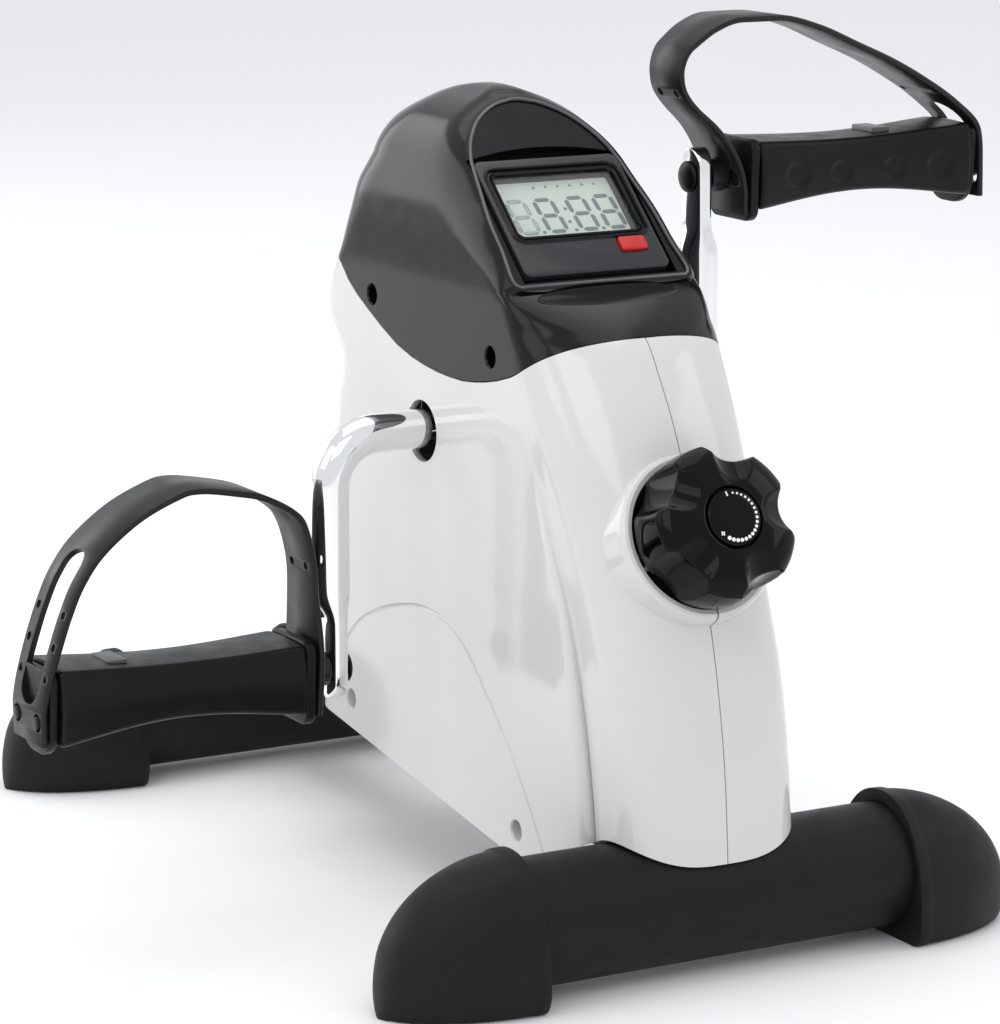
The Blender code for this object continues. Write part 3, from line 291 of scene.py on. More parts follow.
def rod(name, radius, start, end, mat, sides=48, end_radius=None, edge=0.0):
    """A round bar from start to end, tapered where end_radius is given."""
    start, end = Vector(start), Vector(end)
    bm = bmesh.new()
    place = Matrix.Translation((start + end) / 2) @ along(end - start)
    bmesh.ops.create_cone(bm, cap_ends=True, segments=sides, radius1=radius,
                          radius2=radius if end_radius is None else end_radius,
                          depth=(end - start).length, matrix=place)
    obj = from_bm(name, bm, mat)
    return bevel(obj, edge) if edge else obj


def lathe(name, profile, place, mat, steps=72, start=0.0, sweep=2 * pi):
    """Turns (radius, height) points about local Z."""
    full = sweep > 6.28
    rows = []
    for radius, height in profile:
        count = steps if full else steps + 1
        turns = [start + sweep * i / steps for i in range(count)]
        rows.append([place @ Vector((radius * cos(t), radius * sin(t), height)) for t in turns])
    return grid(name, rows, mat, wrap=full)


def prism(name, outline, matrix, low, high, mat, edge=0.0, segments=2):
    """A flat outline in local X and Y, given thickness along local Z."""
    rows = [[matrix @ Vector((x, y, h)) for x, y in outline] for h in (low, high)]
    obj = grid(name, rows, mat, wrap=True, ends=True)
    return bevel(obj, edge, segments) if edge else obj


def rounded(width, height, radius, centre=(0, 0), steps=6):
    """The outline of a rectangle with round corners."""
    points = []
    for sx, sy, first in ((1, 1, 0), (-1, 1, 90), (-1, -1, 180), (1, -1, 270)):
        for i in range(steps + 1):
            turn = radians(first + 90 * i / steps)
            points.append((centre[0] + sx * (width / 2 - radius) + radius * cos(turn),
                           centre[1] + sy * (height / 2 - radius) + radius * sin(turn)))
    return points


def stand_in(piece, node, body):
    """The piece takes a CAD node's place, with the node hidden, and rides on its body."""
    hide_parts(node)
    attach(piece, body)


def curve(table, key=lambda v: v):
    """A smooth function through a table of (place, value)."""
    xs = np.array([key(row[0]) for row in table], float)
    ys = np.array([row[1] for row in table], float)
    d = np.diff(ys) / np.diff(xs)
    m = np.r_[d[0], (d[:-1] + d[1:]) / 2, d[-1]]
    m[1:-1][d[:-1] * d[1:] <= 0] = 0.0

    def at(place):
        x = np.clip(np.asarray(key(place), float), xs[0], xs[-1])
        k = np.clip(np.searchsorted(xs, x, side="right") - 1, 0, len(d) - 1)
        h = xs[k + 1] - xs[k]
        t = (x - xs[k]) / h
        return ((2 * t**3 - 3 * t**2 + 1) * ys[k] + (t**3 - 2 * t**2 + t) * h * m[k]
                + (3 * t**2 - 2 * t**3) * ys[k + 1] + (t**3 - t**2) * h * m[k + 1])
    return at


# ---- housing and cover form
def crown(height):
    """Stretches heights near the top, where the dome closes."""
    return -np.sqrt(np.maximum(0.3268 - np.asarray(height, float), 0.0))


# Tables of (height, measure) for the level sections: Y of the front, of the corner behind the front
# column and of the column's widest place, the column's half width and the groove beside it, the
# section's roundness, Y of the rear, and half the whole width.
FRONT = curve((
    (0.02, -0.202), (0.045, -0.2009), (0.09, -0.1965), (0.139, -0.1854), (0.2, -0.1626),
    (0.225, -0.1478), (0.239, -0.1369), (0.247, -0.124), (0.2545, -0.1083)))
CORNER = curve((
    (0.02, -0.1695), (0.051, -0.167), (0.107, -0.158), (0.139, -0.1495), (0.165, -0.139),
    (0.193, -0.1262), (0.22, -0.115), (0.239, -0.1062), (0.2545, -0.0925)))
CENTRE = curve((
    (0.02, -0.172), (0.051, -0.17), (0.107, -0.161), (0.139, -0.153), (0.165, -0.142),
    (0.193, -0.1285), (0.22, -0.1174), (0.239, -0.1085), (0.2545, -0.094)))
COLUMN = curve((
    (0.02, 0.0402), (0.06, 0.04), (0.107, 0.0404), (0.139, 0.0409), (0.165, 0.0422),
    (0.193, 0.0438), (0.215, 0.0444), (0.245, 0.0445)))
GROOVE = curve((
    (0.02, 0.0072), (0.051, 0.007), (0.107, 0.0047), (0.139, 0.0032), (0.165, 0.0014), (0.195, 0.0),
    (0.26, 0.0)))
POWER = curve((
    (0.02, 3.0), (0.107, 2.9), (0.139, 2.4), (0.193, 2.15), (0.239, 2.05), (0.247, 2.9),
    (0.2545, 4.5), (0.258, 3.6), (0.262, 2.95), (0.28, 2.7), (0.29, 2.6), (0.3, 2.5), (0.3065, 2.5),
    (0.312, 2.4), (0.318, 2.3), (0.3266, 2.2)))
# The dome before the face is cut off it: how far forward it reaches and where it is widest.
DOME_FRONT = curve((
    (0.2545, -0.1083), (0.258, -0.112), (0.262, -0.114), (0.27, -0.1125), (0.28, -0.108),
    (0.29, -0.094), (0.3, -0.08), (0.3065, -0.067), (0.312, -0.0555), (0.318, -0.0425),
    (0.3228, -0.0324), (0.325, -0.0285), (0.3266, -0.0205)), crown)
DOME_CENTRE = curve((
    (0.2545, -0.094), (0.258, -0.0895), (0.262, -0.083), (0.27, -0.066), (0.28, -0.047),
    (0.29, -0.036), (0.3, -0.032), (0.3065, -0.0305), (0.312, -0.03), (0.318, -0.0285),
    (0.3228, -0.026), (0.325, -0.0235), (0.3266, -0.019)), crown)
REAR = curve((
    (0.02, 0.068), (0.055, 0.064), (0.178, 0.0493), (0.194, 0.047), (0.207, 0.0433),
    (0.212, 0.0434), (0.218, 0.0475), (0.226, 0.054), (0.231, 0.056), (0.237, 0.0552),
    (0.252, 0.0482), (0.269, 0.047), (0.285, 0.0468), (0.292, 0.0444), (0.302, 0.041),
    (0.311, 0.0336), (0.319, 0.0191), (0.324, 0.006), (0.3266, -0.015)), crown)
WIDTH = curve((
    (0.02, 0.0445), (0.25, 0.0445), (0.262, 0.0439), (0.275, 0.0428), (0.287, 0.0414),
    (0.301, 0.0378), (0.3065, 0.0348), (0.312, 0.0302), (0.3165, 0.025), (0.32, 0.019),
    (0.324, 0.0095), (0.3266, 0.0012)), crown)
# The line where the cover meets the housing, as (Y, height).
COVER_EDGE = curve((
    (-0.1369, 0.239), (-0.1162, 0.2255), (-0.1019, 0.2206), (-0.0858, 0.2174), (-0.0694, 0.2157),
    (-0.0527, 0.216), (-0.0358, 0.2179), (-0.0185, 0.2215), (0.0034, 0.2304), (0.0159, 0.2366),
    (0.0258, 0.242), (0.0339, 0.2497), (0.038, 0.2518), (0.06, 0.252)))
N_COLUMN, N_LIP, N_GROOVE, N_SIDE, N_REAR, N_BACK = 26, 4, 9, 14, 10, 5


def form(z):
    """Points of half a level section; z holds a height for each of the section's columns."""
    z = np.asarray(z, float)
    xs, ys = np.zeros_like(z), np.zeros_like(z)
    dome = z > FACE_FOOT
    width = WIDTH(z)
    front = np.where(dome, DOME_FRONT(z), FRONT(z))
    centre = np.where(dome, DOME_CENTRE(z), CENTRE(z))
    centre = np.where(dome, centre, np.minimum(centre, front + 0.04))
    corner = np.where(dome, centre + 0.0015, CORNER(z))
    column = np.where(dome, width, np.minimum(COLUMN(z), width))
    deep = GROOVE(z)
    rear = np.maximum(REAR(z), corner + 0.004)
    power = POWER(z)
    dip = np.where(dome, 0.0001, 0.0006 - 0.0012 * deep / 0.007)
    turn_back = np.where(dome, 0.0008, 0.0045)
    c = 0
    for i in range(N_COLUMN + 1):
        turn = pi / 2 * i / N_COLUMN
        xs[..., c] = column[..., c] * sin(turn) ** (2 / power[..., c])
        ys[..., c] = centre[..., c] + (front - centre)[..., c] * max(cos(turn), 0) ** (2 / power[..., c])
        c += 1
    for i in range(1, N_LIP + 1):
        t = i / N_LIP
        inner = (width - deep)[..., c]
        xs[..., c] = inner + (column[..., c] - inner) * (1 - t**1.7)
        ys[..., c] = centre[..., c] + (corner - centre)[..., c] * t
        c += 1
    for i in range(1, N_GROOVE + 1):
        t = i / N_GROOVE
        inner, bend = (width - deep)[..., c], np.minimum(0.0045, deep[..., c] * 0.65)
        if i <= 2:
            xs[..., c] = inner + (width[..., c] - bend - inner) * i / 2
            ys[..., c] = corner[..., c] + dip[..., c] * i / 2
        else:
            turn = pi / 2 * (i - 2) / (N_GROOVE - 2)
            xs[..., c] = width[..., c] - bend + bend * sin(turn)
            ys[..., c] = corner[..., c] + dip[..., c] + turn_back[..., c] * (1 - cos(turn))
        c += 1
    start = corner + dip + turn_back
    radius = np.minimum(np.minimum(0.015 + 0.5 * np.maximum(z - 0.25, 0), width * 0.98),
                        np.maximum(rear - start, 0.004) * 0.7)
    for i in range(1, N_SIDE + 1):
        xs[..., c] = width[..., c]
        ys[..., c] = start[..., c] + (rear - radius - start)[..., c] * i / N_SIDE
        c += 1
    for i in range(1, N_REAR + 1):
        turn = pi / 2 * i / N_REAR
        xs[..., c] = (width - radius + radius * cos(turn))[..., c]
        ys[..., c] = (rear - radius + radius * sin(turn))[..., c]
        c += 1
    for i in range(1, N_BACK + 1):
        xs[..., c] = (width - radius)[..., c] * (1 - i / N_BACK)
        ys[..., c] = rear[..., c]
        c += 1
    return xs, ys


N_ALL = N_COLUMN + 1 + N_LIP + N_GROOVE + N_SIDE + N_REAR + N_BACK


def settle(edge, start):
    """The height where each column of the form meets an edge, a height that depends on Y."""
    z = np.full(N_ALL, start)
    for _ in range(60):
        z = 0.6 * z + 0.4 * edge(form(z)[1])
    return z


def lower_edge(y):
    """The housing's lower edge: a slanting line that steps over the front tube."""
    line = 0.0306 + (y + 0.114) * (0.0552 - 0.0306) / (0.0534 + 0.114)
    reach = 0.0262
    tube = FOOT_Z + np.sqrt(np.maximum(reach**2 - (y + FOOT_Y) ** 2, 0))
    return np.where(np.abs(y + FOOT_Y) < reach, np.maximum(tube, line), line)


def form_grid(z, side, seam):
    """Points of the form at heights z, held off the middle plane by seam."""
    x, y = form(z)
    return np.stack([side * np.maximum(x, seam), y, z], -1)


def knob_at(depth):
    """A point on the knob's axis, so far behind the knob's front."""
    return KNOB_FRONT - KNOB_AXIS * depth


def screw_cup(name, side, y, z, mat):
    """The deep round pocket that a screw's head sits in."""
    place = Matrix.Translation((side * (HALF + 0.0001), y, z)) @ along((side, 0, 0))
    profile = ((SCREW_HOLE, -0.0002), (0.0042, -0.0008), (0.0041, -0.0094), (0.002, -0.0094),
               (0.002, -0.012), (0.0056, -0.012), (0.0056, -0.002))
    return lathe(name, profile, place, mat, steps=32)


def arch_groove(side):
    """A half-round channel along the arch that is moulded into the side panel."""
    points = ((0.05, 0.064), (0.0264, 0.094), (0.0051, 0.1066), (-0.0173, 0.1137), (-0.0392, 0.1169),
              (-0.0606, 0.1142), (-0.075, 0.106), (-0.0856, 0.0969), (-0.11, 0.0735),
              (-0.1261, 0.054), (-0.137, 0.038), (-0.145, 0.023))
    ys = curve([(i, p[0]) for i, p in enumerate(points)])
    zs = curve([(i, p[1]) for i, p in enumerate(points)])
    rows = []
    last = len(points) - 1
    for t in np.linspace(0, last, 90):
        y, z = float(ys(t)), float(zs(t))
        before, after = t - 0.01, min(t + 0.01, last)
        dy, dz = float(ys(after) - ys(before)), float(zs(after) - zs(before))
        length = hypot(dy, dz)
        ny, nz = -dz / length, dy / length
        rows.append([(side * (HALF + 0.0002 + 0.0009 * cos(a)), y + 0.001 * sin(a) * ny,
                      z + 0.001 * sin(a) * nz) for a in np.linspace(0, 2 * pi, 11)[:-1]])
    return grid("arch_groove", rows, None, wrap=True, ends=True)


def screw_holes(side, places):
    return [rod("hole", SCREW_HOLE, (side * 0.03, y, z), (side * 0.06, y, z), None, 40) for y, z in places]


def make_shell(side, word):
    low = settle(lower_edge, 0.05)
    high = settle(lambda y: COVER_EDGE(y) - EDGE_GAP, 0.23)
    share = np.linspace(0, 1, 105)[:, None]
    z = low[None, :] + (high - low)[None, :] * share
    shell = grid(f"shell_{word}", list(form_grid(z, side, SEAM)), WHITE, sharp=0)
    # The shell's inner face takes the dark grey of painted shade.
    shell.data.materials.append(WHITE_PAINTED_SHADE)
    mod = shell.modifiers.new("wall", "SOLIDIFY")
    mod.thickness = WALL
    mod.offset = -1
    mod.use_even_offset = True
    mod.thickness_clamp = 1.0
    mod.material_offset = 1
    mod.use_rim = True
    bake(shell)
    axle_hole = rod("hole", AXLE_HOLE, (side * 0.03, AXLE_Y, AXLE_HOLE_Z),
                    (side * 0.06, AXLE_Y, AXLE_HOLE_Z), None, 64)
    knob_hole = rod("hole", 0.031, knob_at(0.0), knob_at(0.06), None, 64)
    cut(shell, axle_hole, knob_hole, arch_groove(side), *screw_holes(side, HOUSING_SCREWS))
    cups = [screw_cup("cup", side, y, z, WHITE) for y, z in HOUSING_SCREWS]
    # The sleeve in the axle hole is painted dark grey, as shade inside the hole.
    sleeve = lathe("sleeve", ((AXLE_HOLE, 0.0), (AXLE_HOLE, -0.003), (0.0155, -0.0032), (0.0155, -0.0022)),
                   Matrix.Translation((side * HALF, AXLE_Y, AXLE_HOLE_Z)) @ along((side, 0, 0)), WHITE_PAINTED_SHADE)
    join(shell, *cups, sleeve, boss(side))
    stand_in(shell, f"housing_{word}", "base")


# The knob's own frame, and the whole machine's up and right in it.
KNOB_PLACE = Matrix.Translation(KNOB_FRONT) @ along(KNOB_AXIS)
KNOB_UP = KNOB_PLACE.inverted().to_3x3() @ Vector((0, sin(TILT), cos(TILT)))
KNOB_RIGHT = KNOB_PLACE.inverted().to_3x3() @ Vector((1, 0, 0))


def boss(side):
    """Half of the raised ring that the knob stands on."""
    first = atan2(KNOB_UP.y, KNOB_UP.x)
    profile = ((0.0285, -0.042), (0.0285, -0.031), (0.0292, -0.0298), (0.031, -0.0293),
               (0.0322, -0.0298), (0.0329, -0.0308), (0.0334, -0.0324), (0.0337, -0.035),
               (0.034, -0.039), (0.0345, -0.043), (0.0353, -0.047), (0.0366, -0.051),
               (0.0385, -0.055))
    out = KNOB_RIGHT * side
    way = 1 if (KNOB_UP.x * out.y - KNOB_UP.y * out.x) > 0 else -1
    gap = 0.008
    return lathe("boss", profile, KNOB_PLACE, WHITE, steps=60, start=first + way * gap,
                 sweep=way * (pi - 2 * gap))


# The display face: local X across, Y up the slope and Z out of it.
FACE = Matrix.Translation((0, FACE_Y, FACE_Z)) @ Matrix.Rotation(THETA, 4, "X")


def well_outline():
    """The recess round the module: square below, a low arc above."""
    half, low, high, rise = 0.0347, -0.0325, 0.0312, 0.0052
    points = [(-half, low), (half, low)]
    for i in range(17):
        t = 1 - 2 * i / 16
        points.append((half * t, high + rise * (1 - t * t)))
    return points


def arch_outline(inset):
    """Where the flat face cuts the dome: upright sides that close in an arch, drawn in by inset."""
    up = np.linspace(-0.0366, 0.0638, 60) if inset else np.linspace(-0.0378, 0.0639, 60)
    z = FACE_Z + up * sin(THETA)
    plane = FACE_Y + up * cos(THETA)
    share = (DOME_CENTRE(z) - plane) / (DOME_CENTRE(z) - DOME_FRONT(z))
    half = WIDTH(z) * np.maximum(1 - np.clip(share, 0, 1) ** POWER(z), 0) ** (1 / POWER(z))
    points = np.stack([half, up], -1)
    points = np.concatenate([points, (points * (-1, 1))[::-1]])
    along_line = np.roll(points, -1, 0) - np.roll(points, 1, 0)
    out = np.stack([along_line[:, 1], -along_line[:, 0]], -1)
    out /= np.maximum(np.linalg.norm(out, axis=1), 1e-9)[:, None]
    return [tuple(q) for q in points - out * inset]


def mirrored_solid(name, rows, mat):
    """A closed solid of full level sections; rows hold the right half, from front to back."""
    right = np.asarray(rows, float)
    levels, n = right.shape[:2]
    points = np.concatenate([right.reshape(-1, 3), (right * (-1, 1, 1)).reshape(-1, 3)])
    off = levels * n
    faces = []
    for i in range(levels - 1):
        for j in range(n - 1):
            a, b, c, d = i * n + j, i * n + j + 1, (i + 1) * n + j + 1, (i + 1) * n + j
            faces += [(a, b, c, d), (off + d, off + c, off + b, off + a)]
    for base, flip in ((0, 1), ((levels - 1) * n, -1)):
        for j in range(n - 1):
            faces.append((base + j, off + base + j, off + base + j + 1, base + j + 1)[::flip])
    bm = bmesh.new()
    verts = [bm.verts.new(p) for p in points]
    for face in faces:
        bm.faces.new([verts[i] for i in face])
    bmesh.ops.remove_doubles(bm, verts=bm.verts, dist=MERGE)
    bmesh.ops.dissolve_degenerate(bm, edges=bm.edges, dist=MERGE / 2)
    return from_bm(name, bm, mat)


def sideways(side):
    """Turns a flat outline to stand in Y and Z, with its thickness along X."""
    return Matrix(((0, 0, side, 0), (1, 0, 0, 0), (0, 1, 0, 0), (0, 0, 0, 1)))


def wedge():
    """All that lies in front of the flat face, above the face's foot."""
    outline = ((-0.1074, 0.2555), (-0.1105, 0.2536), (-0.15, 0.242), (-0.15, 0.35),
               (-0.0022, 0.35))
    return prism("front", outline, sideways(1), -0.06, 0.06, None)


def rim_line():
    """The fine raised line that borders the face, coloured lighter grey than the cover as a painted
    highlight along that edge.
    """
    outline = [Vector(point) for point in arch_outline(0.0019)]
    radius, lift = 0.0007, 0.0001
    rows = []
    for i, point in enumerate(outline):
        way = (outline[(i + 1) % len(outline)] - outline[i - 1]).normalized()
        out = Vector((way.y, -way.x))
        rows.append([FACE @ Vector((point.x + out.x * radius * cos(a), point.y + out.y * radius * cos(a),
                                    lift + radius * sin(a))) for a in np.linspace(0, 2 * pi, 9)[:-1]])
    return grid("rim", rows + rows[:1], EDGE_PAINTED_HIGHLIGHT, wrap=True)


def make_cover():
    low = settle(lambda y: COVER_EDGE(y) + EDGE_GAP, 0.23)
    share = 1 - (1 - np.linspace(0, 1, 150)[:, None]) ** 1.7
    z = low[None, :] + (TOP - low)[None, :] * share
    z[np.abs(z - FACE_FOOT).argmin(axis=0), np.arange(len(low))] = FACE_FOOT
    cover = mirrored_solid("cover_shell", form_grid(z, 1, 0.0), BLACK)
    z = (low - 0.004)[None, :] + (TOP - 0.0034 - low + 0.004)[None, :] * share[::3]
    inner = form_grid(z, 1, 0.0)
    middle = (inner[:, :1, 1] + inner[:, -1:, 1]) / 2
    inner[..., 0] *= (WIDTH(z) - WALL) / WIDTH(z)
    depth = inner[:, -1:, 1] - middle
    inner[..., 1] = middle + (inner[..., 1] - middle) * (depth - 0.0026) / depth
    inner[..., 1] = np.maximum(inner[..., 1], FACE_Y + (z - FACE_Z) / SLOPE + 0.0125)
    hollow = mirrored_solid("hollow", inner, DARK)
    well = prism("well", well_outline(), FACE, -0.0045, 0.01, DARK)
    step = prism("step", arch_outline(0.0022), FACE, -0.0005, 0.01, None)
    holes = [hole for side, _ in SIDES for hole in screw_holes(side, COVER_SCREWS)]
    cut(cover, hollow, wedge(), step, well, notch(), *holes)
    cups = [screw_cup("cup", side, y, z, BLACK) for side, _ in SIDES for y, z in COVER_SCREWS]
    join(cover, *cups, rim_line())
    stand_in(cover, "top_cover", "base")


def notch():
    """The finger notch at the foot of the face, the hollow that a squashed ball leaves."""
    bm = bmesh.new()
    place = (FACE @ Matrix.Translation((-0.0015, -0.042, 0.0018))
             @ Matrix.Rotation(radians(-8), 4, "X") @ Matrix.Diagonal((0.033, 0.007, 0.0056, 1)))
    bmesh.ops.create_uvsphere(bm, u_segments=96, v_segments=48, radius=1.0, matrix=place)
    return from_bm("notch", bm, BEZEL)


# ---- display
# Each bar of a digit: its middle in shares of the digit's width and height, and if it stands.
SEGMENTS = (((0.5, 1), False), ((1, 0.75), True), ((1, 0.25), True), ((0.5, 0), False),
            ((0, 0.25), True), ((0, 0.75), True), ((0.5, 0.5), False))


def segment_bars(name, digits, mat, level):
    """Seven-segment bars with pointed ends, slanted as such digits are."""
    bm = bmesh.new()
    thick = 0.00195
    for left, base, wide, tall in digits:
        for (u, v), upright in SEGMENTS:
            cx, cy = left + u * wide, base + v * tall
            half = (tall / 4 if upright else wide / 2) - thick * 0.28
            body, rim = half - thick / 2, thick / 2
            shape = ((-half, 0), (-body, rim), (body, rim), (half, 0), (body, -rim), (-body, -rim))
            verts = []
            for height in (level, level + 0.0001):
                for x, y in shape:
                    px, py = (cx + y, cy + x) if upright else (cx + x, cy + y)
                    px -= (py - base) * 0.07
                    verts.append(bm.verts.new(FACE @ Vector((px, py, height))))
            bm.faces.new(verts[6:])
            bm.faces.new(verts[:6])
            for i in range(6):
                bm.faces.new((verts[i], verts[(i + 1) % 6], verts[6 + (i + 1) % 6], verts[6 + i]))
    return from_bm(name, bm, mat, 0)


def make_display():
    glass, press = (0, 0.006), (0.02, -0.0178)
    bezel = prism("bezel_plate", rounded(0.066, 0.06, 0.0035), FACE, -0.0042, 0.0006, BEZEL, 0.0007, 3)
    window = prism("window", rounded(0.061, 0.0386, 0.0055, glass), FACE, -0.01, 0.01, None)
    slot = prism("slot", rounded(0.0126, 0.0074, 0.0012, press), FACE, -0.01, 0.01, None)
    cut(bezel, window, slot)
    frame_rows = []
    for grow, height in ((0.0, -0.0038), (0.0006, -0.0015), (0.001, 0.0003), (0.0018, 0.0014),
                         (0.0026, 0.0003), (0.0034, 0.0002), (0.0042, 0.0015), (0.005, 0.0008),
                         (0.0052, 0.0002)):
        outline = rounded(0.0524 + 2 * grow, 0.03 + 2 * grow, 0.0012 + grow, glass, 8)
        frame_rows.append([FACE @ Vector((x, y, height)) for x, y in outline])
    ring = grid("frame_ring", frame_rows, BLACK, wrap=True)
    join(bezel, ring)
    stand_in(bezel, "module_bezel", "base")
    level = -0.0038
    lcd = prism("lcd_glass", rounded(0.056, 0.0336, 0.0008, glass), FACE, -0.0047, level, LCD)
    stand_in(lcd, "lcd_screen", "base")
    base, tall, wide = -0.005, 0.0165, 0.0079
    lefts = (-0.0226, -0.01, 0.0046, 0.017)
    dark = segment_bars("lcd_digits", [(x, base, wide, tall) for x in lefts[1:]], LCD_DARK, level)
    pale = segment_bars("lcd_idle_digit", [(lefts[0], base, wide, tall)], LCD_PALE, level)
    raised = level + 0.00012
    dots = [rod("dot", 0.0008, FACE @ Vector((x, y, level)), FACE @ Vector((x, y, raised)), LCD_DARK, 12)
            for x, y in ((0.0014, 0.0062), (0.0007, -0.0005), (-0.0127, base), (0.0019, base),
                         (0.0143, base))]
    ticks = [prism("tick", ((x - 0.0007, 0.0176), (x + 0.0007, 0.0176), (x, 0.019)), FACE, level,
                   raised, LCD_DARK) for x in (-0.0083, -0.0028, 0.0028, 0.0083, 0.0139, 0.0194)]
    join(dark, *dots, *ticks)
    for piece in (dark, pale):
        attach(piece, "base")
    lens = prism("window_pane", rounded(0.0538, 0.0314, 0.0016, glass), FACE, -0.0016, -0.001, CLEAR)
    stand_in(lens, "window_lens", "base")
    button = prism("button_cap", rounded(0.012, 0.0068, 0.0013, press), FACE, -0.0048, 0.0022, RED,
                   0.0009, 4)
    stand_in(button, "mode_button", "button")


# ---- knob
LOBES, SCOOP_AT = 5, radians(2.6)
# Each finger scoop is two round cuts: one down the knob's side, one that runs out over its face.
SCOOPS = (((0.0416, 0.0, 0.008), radians(8.5), 0.0175),
          ((0.0214, 0.0, -0.007), radians(62), 0.0125))
SCALE_R, PRINT_LOW, PRINT_HIGH = 0.0092, -0.002, -0.0016


def make_knob():
    place, up, right = KNOB_PLACE, KNOB_UP, KNOB_RIGHT
    turns = np.linspace(0, pi / 2, 44)
    line = [(0.0129 + 0.0171 * sin(t) ** 0.92, 0.003 + 0.0068 * (1 - cos(t)) ** 0.92) for t in turns]
    line += [(0.03 + 0.0006 * sin(pi * t), 0.0098 + 0.0162 * t) for t in np.linspace(0.04, 1, 26)]
    line += [(0.0297, 0.0268), (0.029, 0.0276), (0.0278, 0.0281), (0.0262, 0.0283), (0.01, 0.0283)]
    rows = []
    steps = 320
    for r, d in line:
        row = []
        for i in range(steps):
            angle = 2 * pi * i / steps
            local = (angle - SCOOP_AT + pi / LOBES) % (2 * pi / LOBES) - pi / LOBES
            point = np.array((r * cos(local), r * sin(local), d))
            for centre, tilt, radius in SCOOPS:
                point = scooped(point, centre, tilt, radius)
            way = angle - local + atan2(point[1], point[0])
            direction = right * cos(way) + up * sin(way)
            row.append(place @ (direction * hypot(point[0], point[1]) + Vector((0, 0, -point[2]))))
        rows.append(row)
    knob = grid("knob_body", rows, KNOB_BLACK, wrap=True, sharp=60)
    pocket = lathe("pocket", ((0.0129, -0.003), (0.0124, -0.0031), (0.0121, -0.0036),
                             (0.0119, -0.0056), (0.0, -0.0056)), place, KNOB_BLACK)
    join(knob, pocket)
    stand_in(knob, "tension_knob", "knob")
    cap = lathe("knob_disc", ((0.0, -0.0016), (0.006, -0.0016), (0.008, -0.0017), (0.01, -0.0019),
                              (0.0109, -0.0022), (0.0114, -0.0029), (0.0116, -0.0054)), place,
                KNOB_BLACK)
    stand_in(cap, "knob_cap", "knob")
    dots = []
    for i in range(19):
        t = i / 18
        angle = radians(84 - 205 * t)
        at = (right * cos(angle) + up * sin(angle)) * SCALE_R
        size = 0.00042 + 0.00038 * t
        dots.append(rod("dot", size, place @ (at + Vector((0, 0, PRINT_LOW))),
                        place @ (at + Vector((0, 0, PRINT_HIGH))), PRINT, 16))
    for angle, both in ((radians(101), False), (radians(-140), True)):
        radial = (right * cos(angle) + up * sin(angle)).normalized()
        across = (right * -sin(angle) + up * cos(angle)).normalized()
        at = radial * SCALE_R
        for way, other in ((radial, across), (across, radial))[:2 if both else 1]:
            box = [at + way * a * 0.0009 + other * b * 0.00028
                   for a, b in ((-1, -1), (1, -1), (1, 1), (-1, 1))]
            rows = [[place @ (p + Vector((0, 0, h))) for p in box] for h in (PRINT_LOW, PRINT_HIGH)]
            dots.append(grid("mark", rows, PRINT, wrap=True, ends=True))
    scale = join(dots[0], *dots[1:])
    scale.name = "knob_scale"
    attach(scale, "knob")


def scooped(point, centre, tilt, radius):
    """Pulls a knob point back to the wall of a round finger scoop, with a soft rim."""
    start = np.array((0.0, 0.0, 0.024))
    way = point - start
    reach = np.linalg.norm(way)
    way = way / reach
    axis = np.array((sin(tilt), 0, cos(tilt)))
    offset = start - centre
    a = way - axis * way.dot(axis)
    b = offset - axis * offset.dot(axis)
    qa, qb, qc = a.dot(a), 2 * a.dot(b), b.dot(b) - radius**2
    disc = qb * qb - 4 * qa * qc
    if disc <= 0:
        return point
    hit = (-qb - sqrt(disc)) / (2 * qa)
    if hit <= 0:
        return point
    soft = 0.001
    h = max(soft - abs(reach - hit), 0.0) / soft
    return start + way * (min(reach, hit) - h * h * soft / 4)


# ---- feet
def make_cap(side, word, y_middle, place_word):
    """A rubber cap: a quarter dome over a short upright wall, with a raised band at its mouth."""
    rows = []
    length = 0.0572
    levels = [(0.0, 1.0), (0.0004, 1.012), (0.0046, 1.012), (0.0054, 1.0)]
    levels += [(length * sin(pi / 2 * t), 1.0) for t in np.linspace(0.075, 1, 40)]
    for x, scale in levels:
        spread = max(1 - (x / length) ** 2, 0.0) ** 0.5
        half = 0.0305 * scale * (0.01 + 0.99 * spread)
        base = 0.011 * (0.45 + 0.55 * min(1.0, spread * 2.5))
        tall = (0.0568 * scale - 0.011) * spread
        tuck = min(0.0055, half * 0.6)
        row = []
        for i in range(9):
            turn = pi / 2 * i / 8
            row.append((x, half - tuck * (1 - sin(turn)), base * (1 - cos(turn))))
        for i in range(1, 33):
            c, s = cos(pi * i / 33), sin(pi * i / 33)
            row.append((x, half * np.sign(c) * abs(c) ** 0.9, base + tall * s**0.93))
        row += [(px, -py, pz) for px, py, pz in row[7::-1]]
        rows.append([(side * (0.0833 + px), y_middle + py, pz) for px, py, pz in row])
    cap = grid(f"foot_cap_{place_word}_{word}", rows, RUBBER, wrap=True, ends=True, sharp=50)
    bore = rod("bore", FOOT_R + 0.0002, (side * 0.07, y_middle, FOOT_Z), (side * 0.1003, y_middle, FOOT_Z),
               None, 72)
    cut(cap, bore)
    bake(cap, 45)
    stand_in(cap, f"end_cap_{place_word}_{word}", "base")


def make_feet():
    for y, place_word in ((-FOOT_Y, "front"), (FOOT_Y, "rear")):
        tube = rod(f"foot_bar_{place_word}", FOOT_R, (-0.1, y, FOOT_Z), (0.1, y, FOOT_Z), PAINT, 128)
        inside = rod("inside", FOOT_R - 0.002, (-0.12, y, FOOT_Z), (0.12, y, FOOT_Z), None, 64)
        hole = rod("hole", 0.0034, (0, y, -0.01), (0, y, 0.08), None, 24)
        cut(tube, inside, hole)
        stand_in(tube, f"{place_word}_foot_tube", "base")
        for side, word in SIDES:
            make_cap(side, word, y, place_word)


